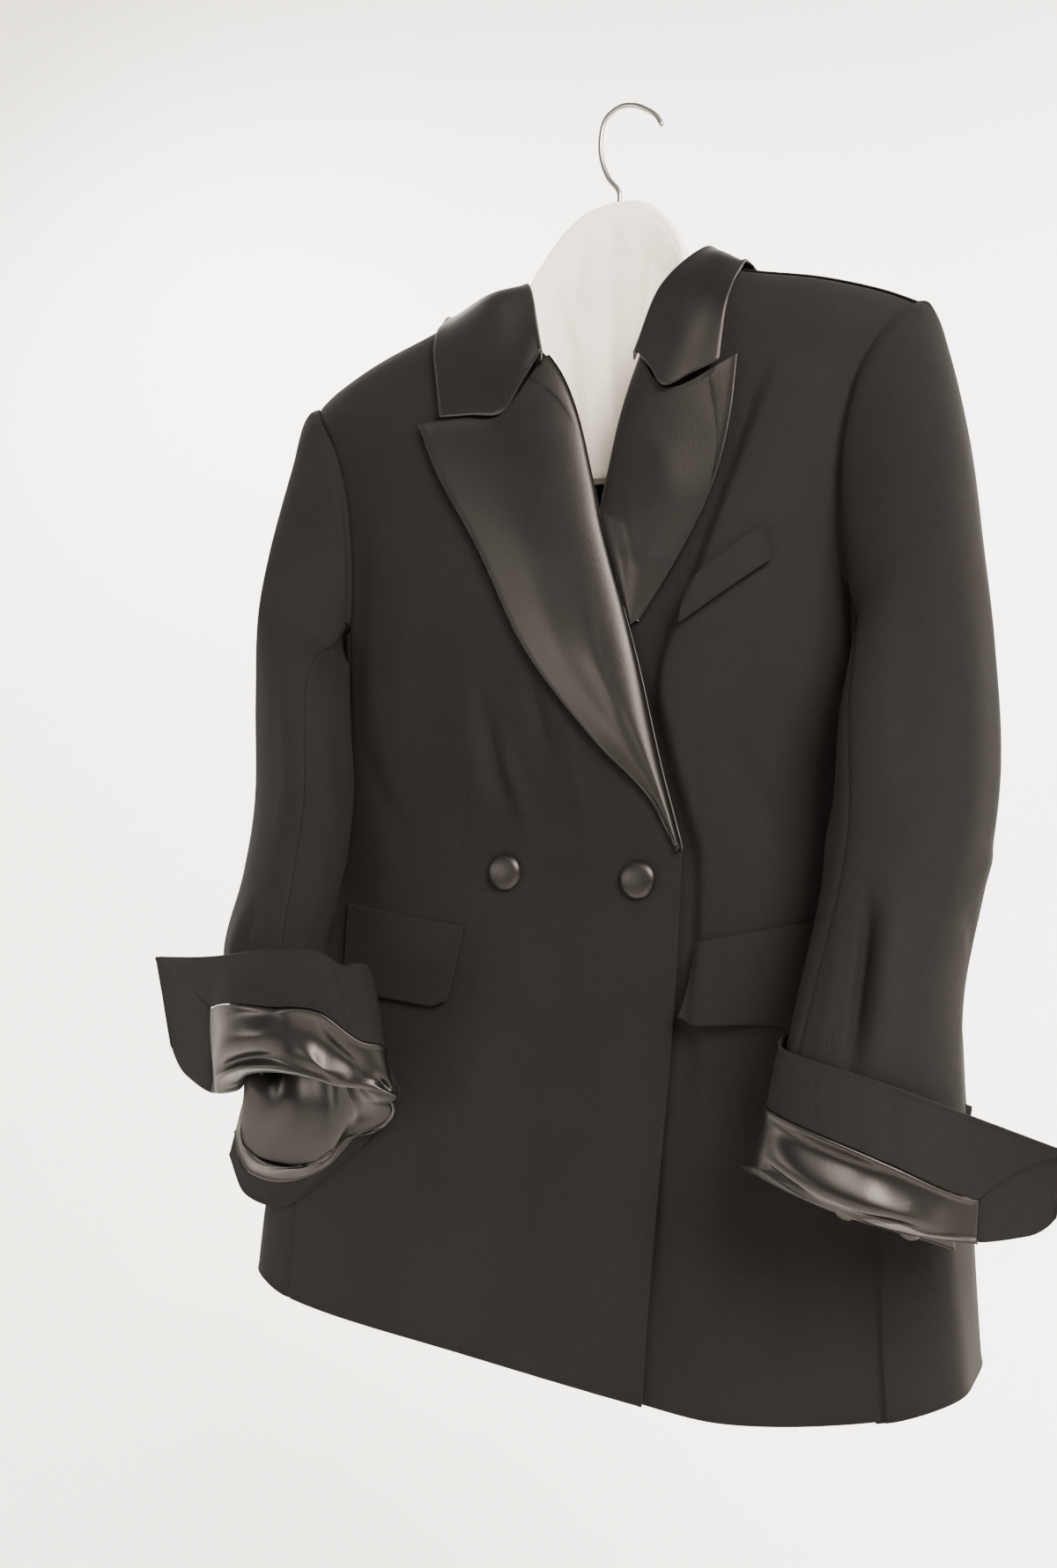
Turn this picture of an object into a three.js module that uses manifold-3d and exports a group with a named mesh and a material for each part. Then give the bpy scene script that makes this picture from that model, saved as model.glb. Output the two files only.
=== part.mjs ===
// A double-breasted tuxedo jacket with satin lapels and turned-up cuffs, on a cloth-covered hanger.
// Millimetres, +Z up, front towards -Y, the wearer's left at +X.
// The origin is where the hanger's hook bears on what holds it.
import * as THREE from "three";
import { mergeVertices } from "three/addons/utils/BufferGeometryUtils.js";
import Module from "manifold-3d";

// Driving sizes
const CLOTH = 1.6; // outer cloth with its interlining
const SATIN = 1.3; // satin lining and facing
const LAPEL_WALL = 1.8; // satin over cloth, turned at the edge
const SEAM = 0.3; // gap between pieces at a seam
const UNDERLAP = 3.8; // how far the left front lies behind the right one
const SHOULDER_ROUND = 42; // height over which the body rounds into the shoulder seam
const FRONT_BUTTON = { radius: 12.8, height: 6 };
const CUFF_BUTTON = { radius: 7, height: 4, above: 0.1 }; // above: share of the way from the fold to the sleeve
const HOOK_WIRE = 2; // radius
const COVER_HEM = -282;
const FLAP_CLEAR = 0.4; // least gap between a flap and the front it lies on
const FLAP_SWING = 2; // how far the foot of a flap stands off

const CLOTH_LOOK = { color: 0x2a2624, roughness: 0.85, metalness: 0 };
const SATIN_LOOK = { color: 0x141312, roughness: 0.32, metalness: 0 };

const wasm = await Module();
wasm.setup();
const jacket = new THREE.Group();

// Gives a smooth curve through the rows of a table, as a function of its first column.
function table(columns, rows) {
  const keys = rows.map((row) => row[0]);
  const slope = (i, c) => {
    const a = Math.max(i - 1, 0);
    const b = Math.min(i + 1, rows.length - 1);
    return (rows[b][c] - rows[a][c]) / (keys[b] - keys[a]);
  };
  return (key) => {
    const rising = keys[keys.length - 1] > keys[0];
    let i = 0;
    while (i < keys.length - 2 && (rising ? key > keys[i + 1] : key < keys[i + 1])) i += 1;
    const span = keys[i + 1] - keys[i];
    const t = Math.min(Math.max((key - keys[i]) / span, 0), 1);
    const out = {};
    columns.forEach((name, n) => {
      const c = n + 1;
      const [t2, t3] = [t * t, t * t * t];
      out[name] =
        (2 * t3 - 3 * t2 + 1) * rows[i][c] +
        (t3 - 2 * t2 + t) * span * slope(i, c) +
        (3 * t2 - 2 * t3) * rows[i + 1][c] +
        (t3 - t2) * span * slope(i + 1, c);
    });
    return out;
  };
}

const mix = (a, b, t) => a + (b - a) * t;
const clamp01 = (v) => Math.min(Math.max(v, 0), 1);
const smooth = (v) => clamp01(v) ** 2 * (3 - 2 * clamp01(v));
const steps = (count, ease = (t) => t) => Array.from({ length: count + 1 }, (_, i) => ease(i / count));

// The body: a section at each height, from the shoulders to the hem
const body = table(
  ["halfWidth", "sideY", "frontDepth", "backDepth", "squareness"],
  [
    [-140, 238, -52, 26, 68, 3.0],
    [-210, 238, -56, 36, 70, 3.0],
    [-300, 214, -54, 44, 68, 3.0],
    [-400, 204, -48, 52, 64, 3.0],
    [-520, 205, -46, 58, 62, 3.0],
    [-580, 216, -46, 60, 62, 3.2],
    [-650, 248, -48, 60, 64, 3.6],
    [-720, 256, -54, 56, 70, 4.0],
    [-810, 264, -62, 50, 78, 4.4],
    [-930, 272, -70, 46, 86, 4.6],
  ],
);
const shoulder = table(["z"], [
  [0, -108], [40, -122], [66, -138], [90, -152], [121, -165], [172, -180], [212, -196], [237, -209],
]);
const hem = table(["z"], [
  [-272, -884], [-225, -898], [-70, -911], [61, -921], [125, -923], [223, -904], [272, -886],
]);

// Each front's own edge: the roll line of its lapel, and the front edge below the break
const rightRoll = table(["x"], [
  [-144, -90], [-180, -54], [-213, -14], [-249, 7], [-308, 23], [-339, 29.5], [-427, 54], [-504, 72.5],
  [-542, 83], [-560, 87.5], [-579, 87], [-693, 81.5], [-930, 68],
]);
const leftRoll = table(["x"], [
  [-144, 94], [-180, 75], [-223, 58], [-263, 44], [-304, 34], [-333, 26.5], [-427, -6], [-504, -36],
  [-560, -60], [-700, -62], [-930, -58],
]);

// The deep fold in the wearer's left front: where it runs, and how far the cloth beside it stands out
const deepFold = table(["x", "rise"], [
  [-235, 158, 0], [-258, 150, 4], [-307, 132, 9], [-373, 107, 13], [-435, 82, 15],
  [-493, 80, 12], [-560, 103, 9], [-620, 105, 8], [-700, 104, 3], [-780, 106, 0],
]);
const FOLD_STEP = 13; // width of the steep side
const FOLD_REACH = 82; // width of the gentle side

function foldRise(x, z) {
  if (z > -235 || z < -780) return 0;
  const fold = deepFold(z);
  const across = x - fold.x;
  const clearOfRightFront = smooth((x - rightRoll(z).x - 5) / FOLD_STEP);
  return fold.rise * smooth((across + FOLD_STEP) / FOLD_STEP) * (1 - smooth(across / FOLD_REACH)) * clearOfRightFront;
}

// The rest of the way from the side line to the front or back face, from 0 at a shoulder seam or side to 1
function fullness(x, z) {
  const at = body(z);
  const across = Math.max(1 - (Math.abs(x) / at.halfWidth) ** at.squareness, 0) ** (1 / at.squareness);
  const down = clamp01((shoulder(Math.abs(x)).z - z) / SHOULDER_ROUND);
  return across * Math.sqrt(1 - (1 - down) ** 2);
}
const frontY = (x, z) => body(z).sideY - body(z).frontDepth * fullness(x, z) - foldRise(x, z);
const backY = (x, z) => body(z).sideY + body(z).backDepth * fullness(x, z);

// A point of the body's section by its angle: 0 at the front's middle, 90 at the side, 180 at the back's middle
function sectionPoint(side, degrees, z) {
  const at = body(z);
  const angle = THREE.MathUtils.degToRad(degrees);
  const power = 2 / at.squareness;
  const depth = degrees < 90 ? -at.frontDepth : at.backDepth;
  return new THREE.Vector3(
    side * at.halfWidth * Math.sin(angle) ** power,
    at.sideY + depth * Math.abs(Math.cos(angle)) ** power,
    z,
  );
}

// Fills a four-sided outline in the x-z plane: each border gives {x, z} for 0 to 1
function patch(inner, outer, top, bottom, across, down) {
  return across.map((s) =>
    down.map((t) => {
      const [i, o, a, b] = [inner(t), outer(t), top(s), bottom(s)];
      const corner = (axis) =>
        mix(mix(inner(0)[axis], outer(0)[axis], s), mix(inner(1)[axis], outer(1)[axis], s), t);
      const at = (axis) => mix(i[axis], o[axis], s) + mix(a[axis], b[axis], t) - corner(axis);
      return { x: at("x"), z: at("z") };
    }),
  );
}

// Makes a closed wall from a grid of points on its outer face. away is a point on the inner side,
// and inner, where it is given, holds the points of the inner face.
function wall(grid, thickness, away, inner = null) {
  const [n, m] = [grid.length, grid[0].length];
  const near = (i, count) => Math.min(Math.max(i, 0), count - 1);
  const normals = grid.map((line, i) =>
    line.map((point, j) => {
      const along = grid[near(i + 1, n)][j].clone().sub(grid[near(i - 1, n)][j]);
      return along.cross(line[near(j + 1, m)].clone().sub(line[near(j - 1, m)])).normalize();
    }),
  );
  let facing = 0;
  grid.forEach((line, i) => line.forEach((p, j) => (facing += normals[i][j].dot(p.clone().sub(away)))));
  const inward = facing > 0 ? -thickness : thickness;
  const back = inner ?? grid.map((line, i) => line.map((p, j) => p.clone().addScaledVector(normals[i][j], inward)));
  const positions = [grid, back].flat(2).flatMap((p) => [p.x, p.y, p.z]);
  const front = (i, j) => i * m + j;
  const rear = (i, j) => n * m + front(i, j);
  const faces = [];
  const quad = (a, b, c, d) => faces.push(a, b, c, a, c, d);
  for (let i = 0; i < n - 1; i += 1) {
    for (let j = 0; j < m - 1; j += 1) {
      quad(front(i, j), front(i + 1, j), front(i + 1, j + 1), front(i, j + 1));
      quad(rear(i, j), rear(i, j + 1), rear(i + 1, j + 1), rear(i + 1, j));
    }
    quad(front(i, 0), rear(i, 0), rear(i + 1, 0), front(i + 1, 0));
    quad(front(i, m - 1), front(i + 1, m - 1), rear(i + 1, m - 1), rear(i, m - 1));
  }
  for (let j = 0; j < m - 1; j += 1) {
    quad(front(0, j), front(0, j + 1), rear(0, j + 1), rear(0, j));
    quad(front(n - 1, j), rear(n - 1, j), rear(n - 1, j + 1), front(n - 1, j + 1));
  }
  return solid(positions, faces);
}

// Turns every face out and gives the geometry
function solid(positions, faces) {
  const at = (i) => new THREE.Vector3().fromArray(positions, 3 * i);
  let volume = 0;
  for (let f = 0; f < faces.length; f += 3) {
    volume += at(faces[f]).dot(at(faces[f + 1]).cross(at(faces[f + 2])));
  }
  if (volume < 0) faces.reverse();
  const geometry = new THREE.BufferGeometry();
  geometry.setAttribute("position", new THREE.Float32BufferAttribute(positions, 3));
  geometry.setIndex(faces);
  return geometry;
}

function add(name, geometry, look, place = null) {
  const mesh = new THREE.Mesh(geometry, new THREE.MeshStandardMaterial(look));
  mesh.name = name;
  if (place) {
    mesh.position.copy(place.position);
    mesh.quaternion.copy(place.quaternion);
  }
  jacket.add(mesh);
}

const lift = (flat, yOf, out = 0) =>
  flat.map((line) => line.map((p) => new THREE.Vector3(p.x, yOf(p.x, p.z) + out, p.z)));

// Front and back panels
const ARMHOLE_FOOT = -392;
const NECK_POINT = 86; // half the width of the back neck
const frontArmhole = table(["x"], [
  [-209, 236], [-224, 222], [-240, 211], [-258, 202], [-300, 192], [-345, 190], [-375, 193], [-392, 196],
]);
const backArmhole = table(["x"], [[-209, 236], [-235, 224], [-300, 203], [-350, 194], [-392, 190]]);
const frontSideSeam = table(["x"], [[-392, 196], [-520, 197], [-600, 208], [-680, 222], [-814, 220], [-930, 226]]);
const backSideSeam = table(["x"], [[-392, 190], [-520, 186], [-650, 205], [-930, 212]]);
const TIP = 236; // the shoulder seam's outer end
const FRONT_FOOT = -915; // near the hem at the front edge
const SIDE_FOOT = -905; // near the hem at the side seams

const denseTop = (bias) => (t) => bias * t ** 2 + (1 - bias) * t;
const denseOutside = (t) => 1 - (1 - t) ** 1.35;

// The height at which a front's own edge meets the shoulder seam
function neckHeight(roll) {
  let z = shoulder(NECK_POINT).z;
  for (let i = 0; i < 20; i += 1) z = mix(z, shoulder(Math.abs(roll(z).x)).z, 0.5);
  return z;
}

function frontPanel(side, roll, out) {
  const innerTop = neckHeight(roll);
  const neck = roll(innerTop).x;
  const reach = side * TIP;
  const seamX = (z) => (z > ARMHOLE_FOOT ? frontArmhole(z).x : frontSideSeam(z).x);
  const innerHem = hem(roll(FRONT_FOOT).x).z;
  const outerHem = hem(side * frontSideSeam(SIDE_FOOT).x).z;
  const innerAt = (t) => mix(innerTop, innerHem, t);
  const outerAt = (t) => mix(shoulder(TIP).z, outerHem, t);
  const flat = patch(
    (t) => ({ x: roll(innerAt(t)).x, z: innerAt(t) }),
    (t) => ({ x: side * seamX(outerAt(t)), z: outerAt(t) }),
    (s) => ({ x: mix(neck, reach, s), z: shoulder(Math.abs(mix(neck, reach, s))).z - SEAM }),
    (s) => {
      const x = mix(roll(innerHem).x, side * seamX(outerHem), s);
      return { x, z: hem(x).z };
    },
    steps(14, denseOutside),
    steps(18, denseTop(0.35)),
  );
  return lift(flat, frontY, out);
}

const BEHIND = new THREE.Vector3(0, 900, -500);
const BEFORE = new THREE.Vector3(0, -900, -500);
add("front_right", wall(frontPanel(-1, rightRoll, 0), CLOTH, BEHIND), CLOTH_LOOK);
add("front_left", wall(frontPanel(1, leftRoll, UNDERLAP), CLOTH, BEHIND), CLOTH_LOOK);

const BACK_NECK = -160;
const SHOULDER_STEP = 2 * CLOTH + UNDERLAP + 1; // least depth from a front's outer face to the back's
function backPanel(side) {
  const seamX = (z) => (z > ARMHOLE_FOOT ? backArmhole(z).x : backSideSeam(z).x);
  const outerHem = hem(side * backSideSeam(SIDE_FOOT).x).z;
  const middleHem = hem(0).z;
  const neckZ = (x) => (x < NECK_POINT ? mix(BACK_NECK, shoulder(NECK_POINT).z, (x / NECK_POINT) ** 3) : shoulder(x).z);
  const flat = patch(
    (t) => ({ x: side * SEAM, z: mix(BACK_NECK, middleHem, t) }),
    (t) => {
      const z = mix(shoulder(TIP).z, outerHem, t);
      return { x: side * seamX(z), z };
    },
    (s) => ({ x: side * mix(SEAM, TIP, s), z: neckZ(mix(SEAM, TIP, s)) - SEAM }),
    (s) => {
      const x = side * mix(SEAM, seamX(outerHem), s);
      return { x, z: hem(x).z };
    },
    steps(8, denseOutside),
    steps(15, denseTop(0.4)),
  );
  return lift(flat, (x, z) => Math.max(backY(x, z), frontY(x, z) + SHOULDER_STEP));
}
add("back_right", wall(backPanel(-1), CLOTH, BEFORE), CLOTH_LOOK);
add("back_left", wall(backPanel(1), CLOTH, BEFORE), CLOTH_LOOK);

// Side panels run round the side, between the front's side seam and the back's
const SCOOP = 14; // depth of the armhole's foot in a side panel
const SIDE_HEM = -890; // height of the section that a side panel's hem follows
const FRONT_SIDE_GAP = 2.2 * SEAM;
const LEFT_SIDE_GAP = 1.5; // more on the wearer's left, where the front lies deeper
const BACK_SIDE_GAP = 0.8;
const angleOf = (x, z) => {
  const at = body(z);
  return THREE.MathUtils.radToDeg(Math.asin(Math.min(x / at.halfWidth, 1) ** (at.squareness / 2)));
};
function sidePanel(side) {
  const rows = steps(14);
  const place = (s, z) => {
    const from = angleOf(frontSideSeam(z).x + FRONT_SIDE_GAP + (side > 0 ? LEFT_SIDE_GAP : 0), z);
    const to = 180 - angleOf(backSideSeam(z).x + BACK_SIDE_GAP, z);
    return sectionPoint(side, mix(from, to, s), z);
  };
  return steps(6).map((s) => {
    const top = ARMHOLE_FOOT - 1 - SCOOP * Math.sin(Math.PI * s);
    const foot = hem(place(s, SIDE_HEM).x).z;
    return rows.map((t) => place(s, mix(top, foot, t)));
  });
}
for (const [name, side] of [["side_right", -1], ["side_left", 1]]) {
  add(name, wall(sidePanel(side), CLOTH, new THREE.Vector3(0, -50, -650)), CLOTH_LOOK);
}

// Lapels: grids between the roll line and the lapel's own edge, raised off the front they lie on
const LAPEL_SEAT = LAPEL_WALL + 0.6;
const LAPEL_ROLL = 6.5; // how far the lapel's roll stands up
const LAPEL_STAND = 2.6; // how far its edge stands off
const LAPEL_FLAT = { from: 0.7, share: 0.75 }; // towards the break both grow flat
const lapelRise = (s) => LAPEL_SEAT + LAPEL_ROLL * Math.sin(Math.PI * s ** 0.6) + LAPEL_STAND * s;
function lapel(roll, edge, gorge, top, foot, out) {
  const inner = (t) => {
    const z = mix(top, foot, t);
    return { x: roll(z).x, z };
  };
  const outer = (t) => edge(t);
  const flat = patch(inner, outer, gorge, (s) => {
    const from = inner(1);
    const to = outer(1);
    return { x: mix(from.x, to.x, s), z: mix(from.z, to.z, s) };
  }, steps(6), steps(16));
  const rows = flat[0].length - 1;
  return flat.map((line, i) =>
    line.map((p, j) => {
      const fade = 1 - LAPEL_FLAT.share * smooth((j / rows - LAPEL_FLAT.from) / (1 - LAPEL_FLAT.from));
      const rise = LAPEL_SEAT + (lapelRise(i / 6) - LAPEL_SEAT) * fade;
      return new THREE.Vector3(p.x, frontY(p.x, p.z) + out - rise, p.z);
    }),
  );
}
const rightLapelEdge = table(["x", "z"], [
  [0, -117, -247], [0.14, -99, -288], [0.3, -66, -343], [0.5, -27, -419], [0.7, 26, -484], [0.88, 67, -524], [1, 86, -556],
]);
const leftLapelEdge = table(["x", "z"], [
  [0, 127, -235], [0.2, 121, -281], [0.4, 108, -325], [0.6, 84, -368], [0.8, 56, -405], [1, 20, -446],
]);
const rightGorge = table(["x", "z"], [[0, -13, -213], [0.35, -44, -253], [0.6, -76, -251], [1, -117, -247]]);
const leftGorge = table(["x", "z"], [[0, 57, -223], [0.4, 81, -252], [1, 127, -235]]);
const rightLapelGrid = lapel(rightRoll, rightLapelEdge, rightGorge, -213, -560, 0);
const leftLapelGrid = lapel(leftRoll, leftLapelEdge, leftGorge, -223, -440, UNDERLAP);

// The left lapel goes out of sight where the right front covers it
function cut(geometry, tool) {
  const [a, b] = [geometry, tool].map((g) => {
    const { array } = g.getAttribute("position");
    const triVerts = new Uint32Array(g.index.array);
    return new wasm.Manifold(new wasm.Mesh({ numProp: 3, vertProperties: array, triVerts }));
  });
  const mesh = a.subtract(b).getMesh();
  return solid(Array.from(mesh.vertProperties), Array.from(mesh.triVerts));
}
const COVER_DEPTH = 30;
const COVER_OVERSHOOT = 3; // how far past the right front's edge the covering reaches
const coverLine = (z) => ({ x: rightRoll(z).x + COVER_OVERSHOOT });
const covering = wall(frontPanel(-1, coverLine, -COVER_DEPTH), 0, BEHIND, frontPanel(-1, coverLine, UNDERLAP + 4));
add("lapel_right", wall(rightLapelGrid, LAPEL_WALL, BEHIND), SATIN_LOOK);
add("lapel_left", cut(wall(leftLapelGrid, LAPEL_WALL, BEHIND), covering), SATIN_LOOK);

// The collar's leaf goes round the neck: its roll line, a middle line and its free edge
const collar = table(
  ["rollX", "rollY", "rollZ", "midX", "midY", "midZ", "edgeX", "edgeY", "edgeZ"],
  [
    [-1.0, -13, -104, -211, -44, -104, -251, -98, -98, -245.5],
    [-0.75, -28, -84, -180, -62, -96, -198, -104, -84, -208],
    [-0.5, -47, -58, -143, -82, -66, -151, -113, -61, -162],
    [-0.3, -76, -11, -134, -90, -4, -147, -107, 0, -174],
    [0, 3, 15, -131, 3, 21, -143, 3, 22, -178],
    [0.3, 86, -12, -139, 96, -6, -149, 114, 0, -174],
    [0.5, 92, -54, -142, 105, -60, -149, 123, -58, -160],
    [0.75, 72, -88, -176, 98, -96, -196, 119, -90, -206],
    [1.0, 56, -98, -220, 80, -106, -251, 116, -98, -238],
  ],
);
const COLLAR_LIFT = LAPEL_WALL + 4;
const SEAM_BLEND = 14; // over this depth beside the shoulder seam the collar is also lifted upwards
function overBody(p) {
  const top = shoulder(Math.abs(p.x)).z;
  const z = Math.min(p.z, top);
  const side = body(z).sideY;
  if (p.y < side) p.y = Math.min(p.y, frontY(p.x, z) - COLLAR_LIFT);
  else p.y = Math.max(p.y, backY(p.x, z) + COLLAR_LIFT);
  const near = 1 - smooth((Math.abs(p.y - side) - COLLAR_LIFT) / SEAM_BLEND);
  p.z = mix(p.z, Math.max(p.z, top + COLLAR_LIFT), near);
  return p;
}
const collarGrid = steps(26, (t) => 2 * t - 1).map((u) => {
  const at = collar(u);
  const [roll, mid, edge] = ["roll", "mid", "edge"].map(
    (line) => new THREE.Vector3(at[line + "X"], at[line + "Y"], at[line + "Z"]),
  );
  return steps(4).map((v) => {
    const point = v <= 0.5 ? roll.clone().lerp(mid, v * 2) : mid.clone().lerp(edge, v * 2 - 1);
    return v === 0 ? point : overBody(point);
  });
});
add("collar", wall(collarGrid, LAPEL_WALL, new THREE.Vector3(0, -40, -260)), SATIN_LOOK);

// Breast welt and pocket flaps, made from the panels' points and moved out
function patchOnFront(corners, across, down, out, stand) {
  const [a, b, c, d] = corners; // inner top, outer top, outer foot, inner foot
  return steps(across).map((s) =>
    steps(down).map((t) => {
      const x = mix(mix(a[0], b[0], s), mix(d[0], c[0], s), t);
      const z = mix(mix(a[1], b[1], s), mix(d[1], c[1], s), t);
      return new THREE.Vector3(x, frontY(x, z) + out - CLOTH - FLAP_CLEAR - stand(s, t), z);
    }),
  );
}
const FLAPS = [
  {
    name: "flap_right",
    corners: [[-77, -614], [-184, -601], [-181, -664], [-90, -672]],
    out: 0,
    stand: (s, t) => FLAP_SWING * t,
  },
  {
    name: "flap_left",
    corners: [[100, -619], [186, -602], [176, -667], [91, -671]],
    out: UNDERLAP,
    stand: (s, t) => (FLAP_SWING + 9 * (1 - s) ** 2) * t + 1.8, // its inner end stands off the most
  },
  {
    name: "breast_welt",
    corners: [[94, -387], [146, -350], [150, -373], [92, -411]],
    out: UNDERLAP,
    stand: () => 2.6,
  },
];
for (const flap of FLAPS) {
  add(flap.name, wall(patchOnFront(flap.corners, 7, 4, flap.out, flap.stand), CLOTH, BEHIND), CLOTH_LOOK);
}

// Covered buttons: a domed disc on a short shank, turned to face out
function buttonShape({ radius, height }) {
  const profile = [
    [0, height], [radius * 0.55, height * 0.92], [radius * 0.88, height * 0.68], [radius, height * 0.36],
    [radius * 0.94, height * 0.16], [radius * 0.3, height * 0.1], [radius * 0.3, 0], [0, 0],
  ];
  const shape = new THREE.LatheGeometry(profile.map(([r, h]) => new THREE.Vector2(r, h)).reverse(), 18);
  shape.deleteAttribute("normal");
  shape.deleteAttribute("uv");
  const merged = mergeVertices(shape, 1e-3);
  const index = [];
  const source = merged.index.array;
  for (let f = 0; f < source.length; f += 3) {
    const [a, b, c] = [source[f], source[f + 1], source[f + 2]];
    if (a !== b && b !== c && a !== c) index.push(a, b, c);
  }
  return solid(Array.from(merged.attributes.position.array), index);
}
function facing(position, direction) {
  const quaternion = new THREE.Quaternion().setFromUnitVectors(new THREE.Vector3(0, 1, 0), direction.normalize());
  return { position, quaternion };
}
for (const [name, x, z] of [["front_button_1", -43, -575], ["front_button_2", 58, -579]]) {
  const seat = new THREE.Vector3(x, frontY(x, z) - SEAM, z);
  add(name, buttonShape(FRONT_BUTTON), SATIN_LOOK, facing(seat, new THREE.Vector3(0, -1, 0)));
}

// Sleeves: a ring at each station, from the armhole to the fold of the cuff
const sleeveColumns = ["x", "y", "z", "long", "short", "tilt", "lean", "pitch"];
const sleeveHead = [
  [0, 224, -58, -306, 98, 26, 0, 82, 0],
  [1, 228, -61, -314, 96, 31, 2, 78, 0],
];
const sleeves = {
  left: table(sleeveColumns, [
    ...sleeveHead,
    [2, 231, -65, -333, 87, 35, 8, 72.5, 0],
    [3, 236, -70, -364, 71, 37, 14, 63, 0],
    [4, 238, -79, -407, 58, 37, 22, 47, 0],
    [5, 239, -88, -457, 52, 35, 28, 27, 0],
    [6, 238, -95, -520, 50, 34, 30, 7, 0],
    [7, 233, -112, -580, 48, 34, 29, 0, 6],
    [8, 226, -140, -642, 47, 33, 26, -5, 10],
    [9, 223, -154, -700, 53, 28, 20, -10, 4],
    [10, 222, -160, -752, 60, 24, 14, -13, -10],
  ]),
  right: table(sleeveColumns, [
    ...sleeveHead,
    [2, 227, -65, -333, 84, 35, 8, 72.5, 0],
    [3, 234, -74, -360, 64, 35, 14, 63, 0],
    [4, 236, -88, -400, 48, 34, 22, 47, 0],
    [5, 233, -95, -457, 46, 33, 28, 27, 0],
    [6, 232, -98, -520, 47, 34, 30, 7, 0],
    [7, 229, -114, -580, 46, 34, 29, 0, 6],
    [8, 219, -141, -640, 46, 33, 22, 0, 14],
    [9, 202, -147, -694, 52, 31, 10, -3, 34],
    [10, 186, -147, -748, 61, 29, 0, -6, 52],
  ]),
};
const SLEEVE_FADE = 3.2; // stations over which the ring leaves the armhole's own shape
const ARMHOLE_CLEAR = 3.2; // from the armhole's edge to the sleeve
const UNDERARM = { drop: 12, x: 214, from: 0.84 }; // from: share of the way down at which the ring turns under

function armholePoint(degrees) {
  const down = (1 - Math.cos(THREE.MathUtils.degToRad(degrees))) / 2;
  const z = mix(shoulder(TIP).z, ARMHOLE_FOOT - UNDERARM.drop, down);
  const front = degrees >= 0 && degrees < 180;
  const edge = Math.max(z, ARMHOLE_FOOT);
  const x = (front ? frontArmhole(edge).x : backArmhole(edge).x) + ARMHOLE_CLEAR;
  const under = smooth((down - UNDERARM.from) / (1 - UNDERARM.from));
  const middle = body(z).sideY;
  const open = front ? frontY(x - ARMHOLE_CLEAR, edge) : backY(x - ARMHOLE_CLEAR, edge);
  return new THREE.Vector3(mix(x, UNDERARM.x, under), mix(open, middle, under ** 2), z);
}

const RING_ROUND = 0.92; // 1 is an ellipse, less is squarer
function ringPoint(at, degrees) {
  const angle = THREE.MathUtils.degToRad(degrees);
  const [tilt, lean, pitch] = [at.tilt, at.lean, at.pitch].map(THREE.MathUtils.degToRad);
  const outwards = new THREE.Vector3(
    Math.cos(tilt) * Math.cos(lean), Math.sin(tilt) * Math.cos(lean), Math.sin(lean),
  );
  const forwards = new THREE.Vector3(
    Math.sin(tilt) * Math.cos(pitch), -Math.cos(tilt) * Math.cos(pitch), Math.sin(pitch),
  );
  const [c, s] = [Math.cos(angle), Math.sin(angle)];
  return new THREE.Vector3(at.x, at.y, at.z)
    .addScaledVector(outwards, at.long * Math.sign(c) * Math.abs(c) ** RING_ROUND)
    .addScaledVector(forwards, at.short * Math.sign(s) * Math.abs(s) ** RING_ROUND);
}

function sleevePoint(rings, side, degrees, station, inset = 0) {
  const at = rings(station);
  const point = ringPoint({ ...at, long: at.long - inset, short: at.short - inset }, degrees);
  const stay = 1 - smooth(station / SLEEVE_FADE);
  if (stay > 0) point.addScaledVector(armholePoint(degrees).sub(ringPoint(rings(0), degrees)), stay);
  point.x *= side;
  return point;
}

const FRONT_SEAM = 152; // where the two pieces of a sleeve meet, as an angle round the ring
const BACK_SEAM = 318;
const SEAM_TURN = 0.8; // degrees left open on each side of a sleeve seam
const STATIONS = [0, 0.5, 1.1, 1.9, 2.8, 3.7, 4.5, 5.3, 6.1, 6.9, 7.7, 8.4, 9.1, 9.35];
for (const [name, side] of [["right", -1], ["left", 1]]) {
  const strip = (from, to, count, inset) =>
    steps(count).map((s) =>
      STATIONS.map((station) =>
        sleevePoint(sleeves[name], side, mix(from + SEAM_TURN, to - SEAM_TURN, s), station, inset),
      ),
    );
  const piece = (from, to, count) => wall(strip(from, to, count, 0), CLOTH, BEHIND, strip(from, to, count, CLOTH));
  add("sleeve_upper_" + name, piece(BACK_SEAM - 360, FRONT_SEAM, 12), CLOTH_LOOK);
  add("sleeve_under_" + name, piece(FRONT_SEAM, BACK_SEAM, 10), CLOTH_LOOK);
}

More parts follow.
